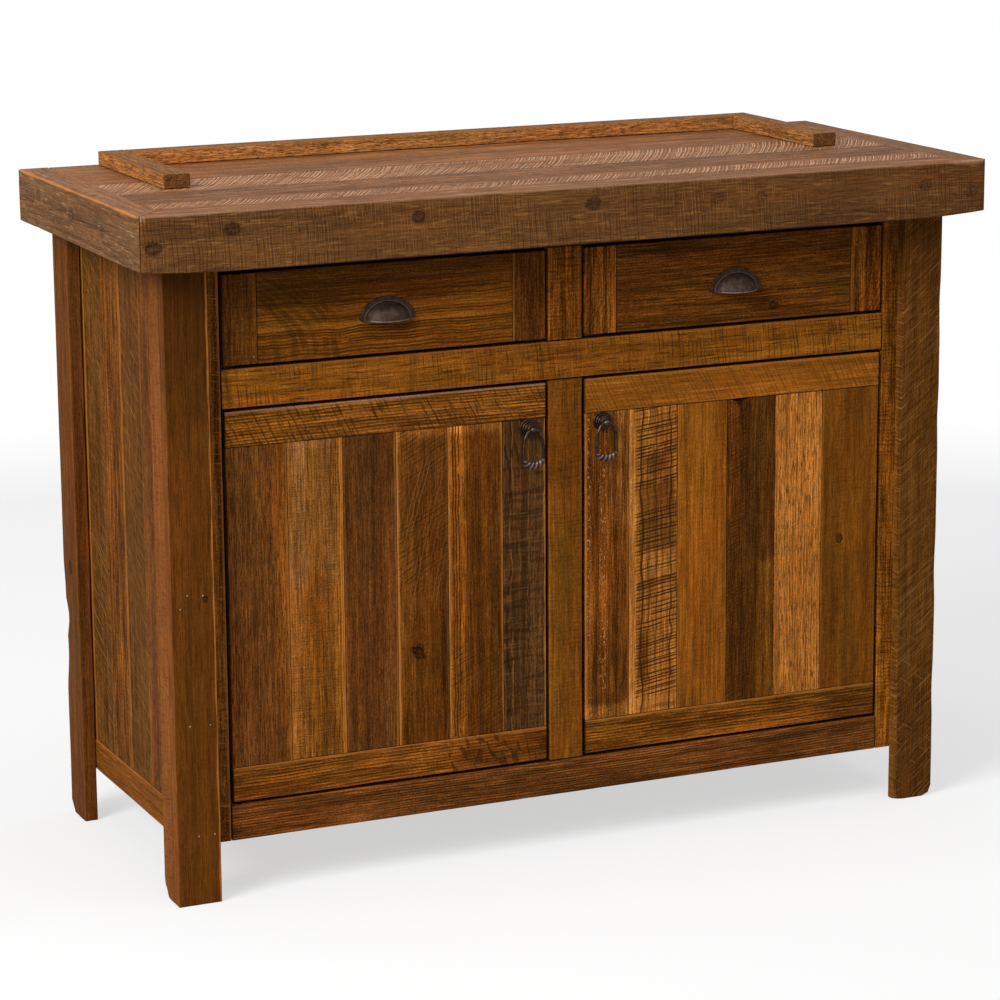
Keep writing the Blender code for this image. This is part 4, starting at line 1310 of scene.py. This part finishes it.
def rosette(hand):
    """A turned rosette: three rounded steps, a neck, and the ball that the ring swings on."""
    node = f"{hand}_door_rosette"
    low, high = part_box(node)
    middle = (low + high) / 2
    radius = (high.z - low.z) / 2
    tip = high.y - low.y
    fillet_width, fillet_height = NECK_FILLET
    profile = [(0.0, 0.0), (radius, 0.0)]
    for step in range(ROSETTE_STEPS):
        outer = radius - step * ROSETTE_STEP_INSET
        rise = step * ROSETTE_STEP_HEIGHT
        centre = (outer - ROSETTE_ROUND[0], rise + ROSETTE_ROUND_RISE)
        profile += arc(centre, ROSETTE_ROUND, -30, 120, 8)
        groove = outer - ROSETTE_STEP_INSET + ROSETTE_GROOVE
        profile.append((groove, rise + ROSETTE_STEP_HEIGHT - ROSETTE_GROOVE_DEPTH))
    neck = ROSETTE_STEPS * ROSETTE_STEP_HEIGHT
    profile += arc((NECK_RADIUS + fillet_width, neck + fillet_height), NECK_FILLET, 270, 180, 5)
    profile += arc((0.0, tip - BALL_RADIUS), (BALL_RADIUS, BALL_RADIUS), -50, 90, 14)
    profile[-1] = (0.0, tip)
    shape = turned(profile, FULL_TURN)
    bmesh.ops.recalc_face_normals(shape, faces=shape.faces)
    bmesh.ops.translate(shape, vec=(middle.x, high.y, middle.z), verts=shape.verts)
    keep(shape, node + "_fine", node, bronze(node, PULL_ROUGH, BRONZE_SHARE))


def ring_points():
    """Even points round the ring, from the middle of its bar: shoulders widening down to a rounded grip."""
    half = [(0.0, 0.0), (RING_SHOULDER, 0.0)]
    shoulder_width = RING_HALF_WIDTH - RING_SHOULDER
    half += arc((RING_SHOULDER, -RING_WIDEST), (shoulder_width, RING_WIDEST), 90, 0, 24)[1:]
    half += arc((0.0, -RING_UPPER), (RING_HALF_WIDTH, RING_LOWER), 0, -90, 24)
    outline = half + [(-x, z) for x, z in reversed(half[:-1])]
    outline = [Vector((x, 0.0, z)) for x, z in outline]
    lengths = [0.0]
    for start, end in zip(outline, outline[1:]):
        lengths.append(lengths[-1] + (end - start).length)
    points = []
    part = 0
    for number in range(RING_STEPS):
        goal = lengths[-1] * number / RING_STEPS
        while lengths[part + 1] < goal:
            part += 1
        share = (goal - lengths[part]) / (lengths[part + 1] - lengths[part])
        points.append(outline[part].lerp(outline[part + 1], share))
    return points


def ring(hand):
    """A ring of round wire that swells to a grip, twisted like rope, at its foot."""
    node = f"{hand}_door_ring"
    low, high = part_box(node)
    place = Vector(((low.x + high.x) / 2, (low.y + high.y) / 2, high.z - RING_WIRE_AT_BALL))
    points = ring_points()
    shape = bmesh.new()
    wire = bmesh.ops.create_circle(shape, segments=RING_SIDES, radius=RING_PATTERN)["verts"]
    bmesh.ops.translate(shape, vec=(1, 0, 0), verts=wire)
    bmesh.ops.rotate(shape, verts=wire, cent=(1, 0, 0), matrix=Matrix.Rotation(math.pi / 2, 3, "X"))
    bmesh.ops.spin(
        shape, geom=shape.verts[:] + shape.edges[:], cent=(0, 0, 0), axis=(0, 0, 1), angle=FULL_TURN,
        steps=RING_STEPS, use_merge=True,
    )
    worn = shape.verts.layers.float.new("worn")
    for vertex in shape.verts:
        turn = math.atan2(vertex.co.y, vertex.co.x) / FULL_TURN % 1
        number = round(turn * RING_STEPS) % RING_STEPS
        across = Vector((vertex.co.x, vertex.co.y)).length - 1
        angle = math.atan2(vertex.co.z, across)
        here = points[number]
        ahead = (points[(number + 1) % RING_STEPS] - points[number - 1]).normalized()
        outward = ahead.cross(Vector((0, 1, 0)))
        grip = max(0.0, 1 - ((turn - 0.5) / RING_GRIP_SHARE) ** 2) ** 0.5
        lobes = math.cos(RING_STRANDS * (angle - FULL_TURN * RING_TWISTS * (turn - 0.5)))
        ridge = 1 + RING_LOBE * min(1.0, 2 * grip) * lobes
        tall = RING_WIRE + grip * (RING_GRIP_TALL - RING_WIRE)
        deep = RING_WIRE + grip * (RING_GRIP_DEEP - RING_WIRE)
        off = outward * (math.cos(angle) * tall) + Vector((0, 1, 0)) * (math.sin(angle) * deep)
        vertex.co = place + here + off * ridge
        vertex[worn] = min(1.0, 2 * grip) * max(0.0, lobes)
    bmesh.ops.recalc_face_normals(shape, faces=shape.faces)
    if shape.calc_volume(signed=True) < 0:
        bmesh.ops.reverse_faces(shape, faces=shape.faces)
    keep(shape, node + "_fine", node, bronze(node, PULL_ROUGH, BRONZE_SHARE))


def nails(name, node, places):
    """Small sunk nail heads in the front of a node's board, at these x and z places."""
    low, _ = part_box(node)
    shape = bmesh.new()
    for x, z in places:
        head = bmesh.ops.create_uvsphere(shape, u_segments=10, v_segments=6, radius=NAIL_RADIUS)["verts"]
        bmesh.ops.scale(shape, vec=(1, NAIL_FLATNESS, 1), verts=head)
        bmesh.ops.translate(shape, vec=(x, low.y + NAIL_SINK, z), verts=head)
    piece = new_piece(name, shape, metal(name + "_steel", NAIL_STEEL, NAIL_STEEL_WORN, NAIL_ROUGH))
    piece.data.shade_smooth()
    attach(piece, body_of(node))


def hardware():
    pin_steel = metal("pivot_steel", BLACK_STEEL, BLACK_STEEL_WORN, PIN_ROUGH)
    for _, hand in SIDES:
        cup_pull(hand)
        rosette(hand)
        ring(hand)
        for end in ("upper", "lower"):
            refinish(f"{hand}_door_{end}_pivot", pin_steel)
    nails("left_leg_nails", "left_front_leg_face", LEG_NAILS)
    nails("left_drawer_nail", "left_drawer_outer_batten", DRAWER_NAILS)


# Studio


def floor():
    shape = bmesh.new()
    bmesh.ops.create_grid(shape, x_segments=1, y_segments=1, size=FLOOR_REACH)
    material, place = new_material("studio_floor_paint")
    tree = material.node_tree
    shader = tree.nodes["Principled BSDF"]
    shader.inputs["Roughness"].default_value = FLOOR_ROUGH
    shader.inputs["Specular IOR Level"].default_value = FLOOR_SHEEN
    path = place.make("ShaderNodeLightPath", output="Is Camera Ray")
    tones = {0: path, 6: FLOOR_BOUNCE, 7: FLOOR_SEEN}
    paint = place.make("ShaderNodeMix", {"data_type": "RGBA"}, tones, output=2)
    tree.links.new(paint.socket, shader.inputs["Base Color"])
    distance = place.make("ShaderNodeVectorMath", {"operation": "LENGTH"}, {0: place}, output="Value")
    far = distance.rise(*FLOOR_FADE)
    glow = place.make("ShaderNodeEmission", inputs={"Color": WHITE, "Strength": 1.0})
    surface = Wire(tree, shader.outputs[0])
    both = place.make("ShaderNodeMixShader", inputs={0: far.most(FLOOR_GLOW) * path, 1: surface, 2: glow})
    tree.links.new(both.socket, tree.nodes["Material Output"].inputs["Surface"])
    new_piece("studio_floor", shape, material)


def backdrop():
    world = bpy.data.worlds.new("studio")
    bpy.context.scene.world = world
    world.use_nodes = True
    tree = world.node_tree
    tree.nodes.clear()
    path = Wire(tree).make("ShaderNodeLightPath", output="Is Camera Ray")
    seen = path.most(path.other("Is Glossy Ray")).most(path.other("Is Transmission Ray"))
    ambient = path.make("ShaderNodeBackground", inputs={"Color": WHITE, "Strength": AMBIENT})
    white = path.make("ShaderNodeBackground", inputs={"Color": WHITE, "Strength": 1.0})
    both = path.make("ShaderNodeMixShader", inputs={0: seen, 1: ambient, 2: white})
    output = tree.nodes.new("ShaderNodeOutputWorld")
    tree.links.new(both.socket, output.inputs["Surface"])


def soft_box(name, place, size, power):
    lamp = bpy.data.lights.new(name, "AREA")
    lamp.shape = "SQUARE"
    lamp.size = size
    lamp.energy = power
    piece = bpy.data.objects.new(name, lamp)
    bpy.context.scene.collection.objects.link(piece)
    piece.location = place
    piece.rotation_euler = (Vector(LAMP_AIM) - Vector(place)).to_track_quat("-Z", "Y").to_euler()


def lights():
    for lamp in LAMPS:
        soft_box(*lamp)


def camera():
    lens = bpy.data.cameras.new("photo_camera")
    lens.lens = CAMERA_LENS
    lens.sensor_width = CAMERA_SENSOR
    piece = bpy.data.objects.new("photo_camera", lens)
    bpy.context.scene.collection.objects.link(piece)
    turn = Matrix.Rotation(math.radians(-CAMERA_YAW), 4, "Z")
    tilt = Matrix.Rotation(math.radians(90 + CAMERA_PITCH), 4, "X")
    roll = Matrix.Rotation(math.radians(CAMERA_ROLL), 4, "Z")
    piece.matrix_world = Matrix.Translation(CAMERA_PLACE) @ turn @ tilt @ roll
    bpy.context.scene.camera = piece


camera()
top()
gallery()
legs()
face_frame()
sides()
inside()
drawers()
doors()
hardware()
floor()
backdrop()
lights()
bpy.context.scene.view_settings.view_transform = "Standard"
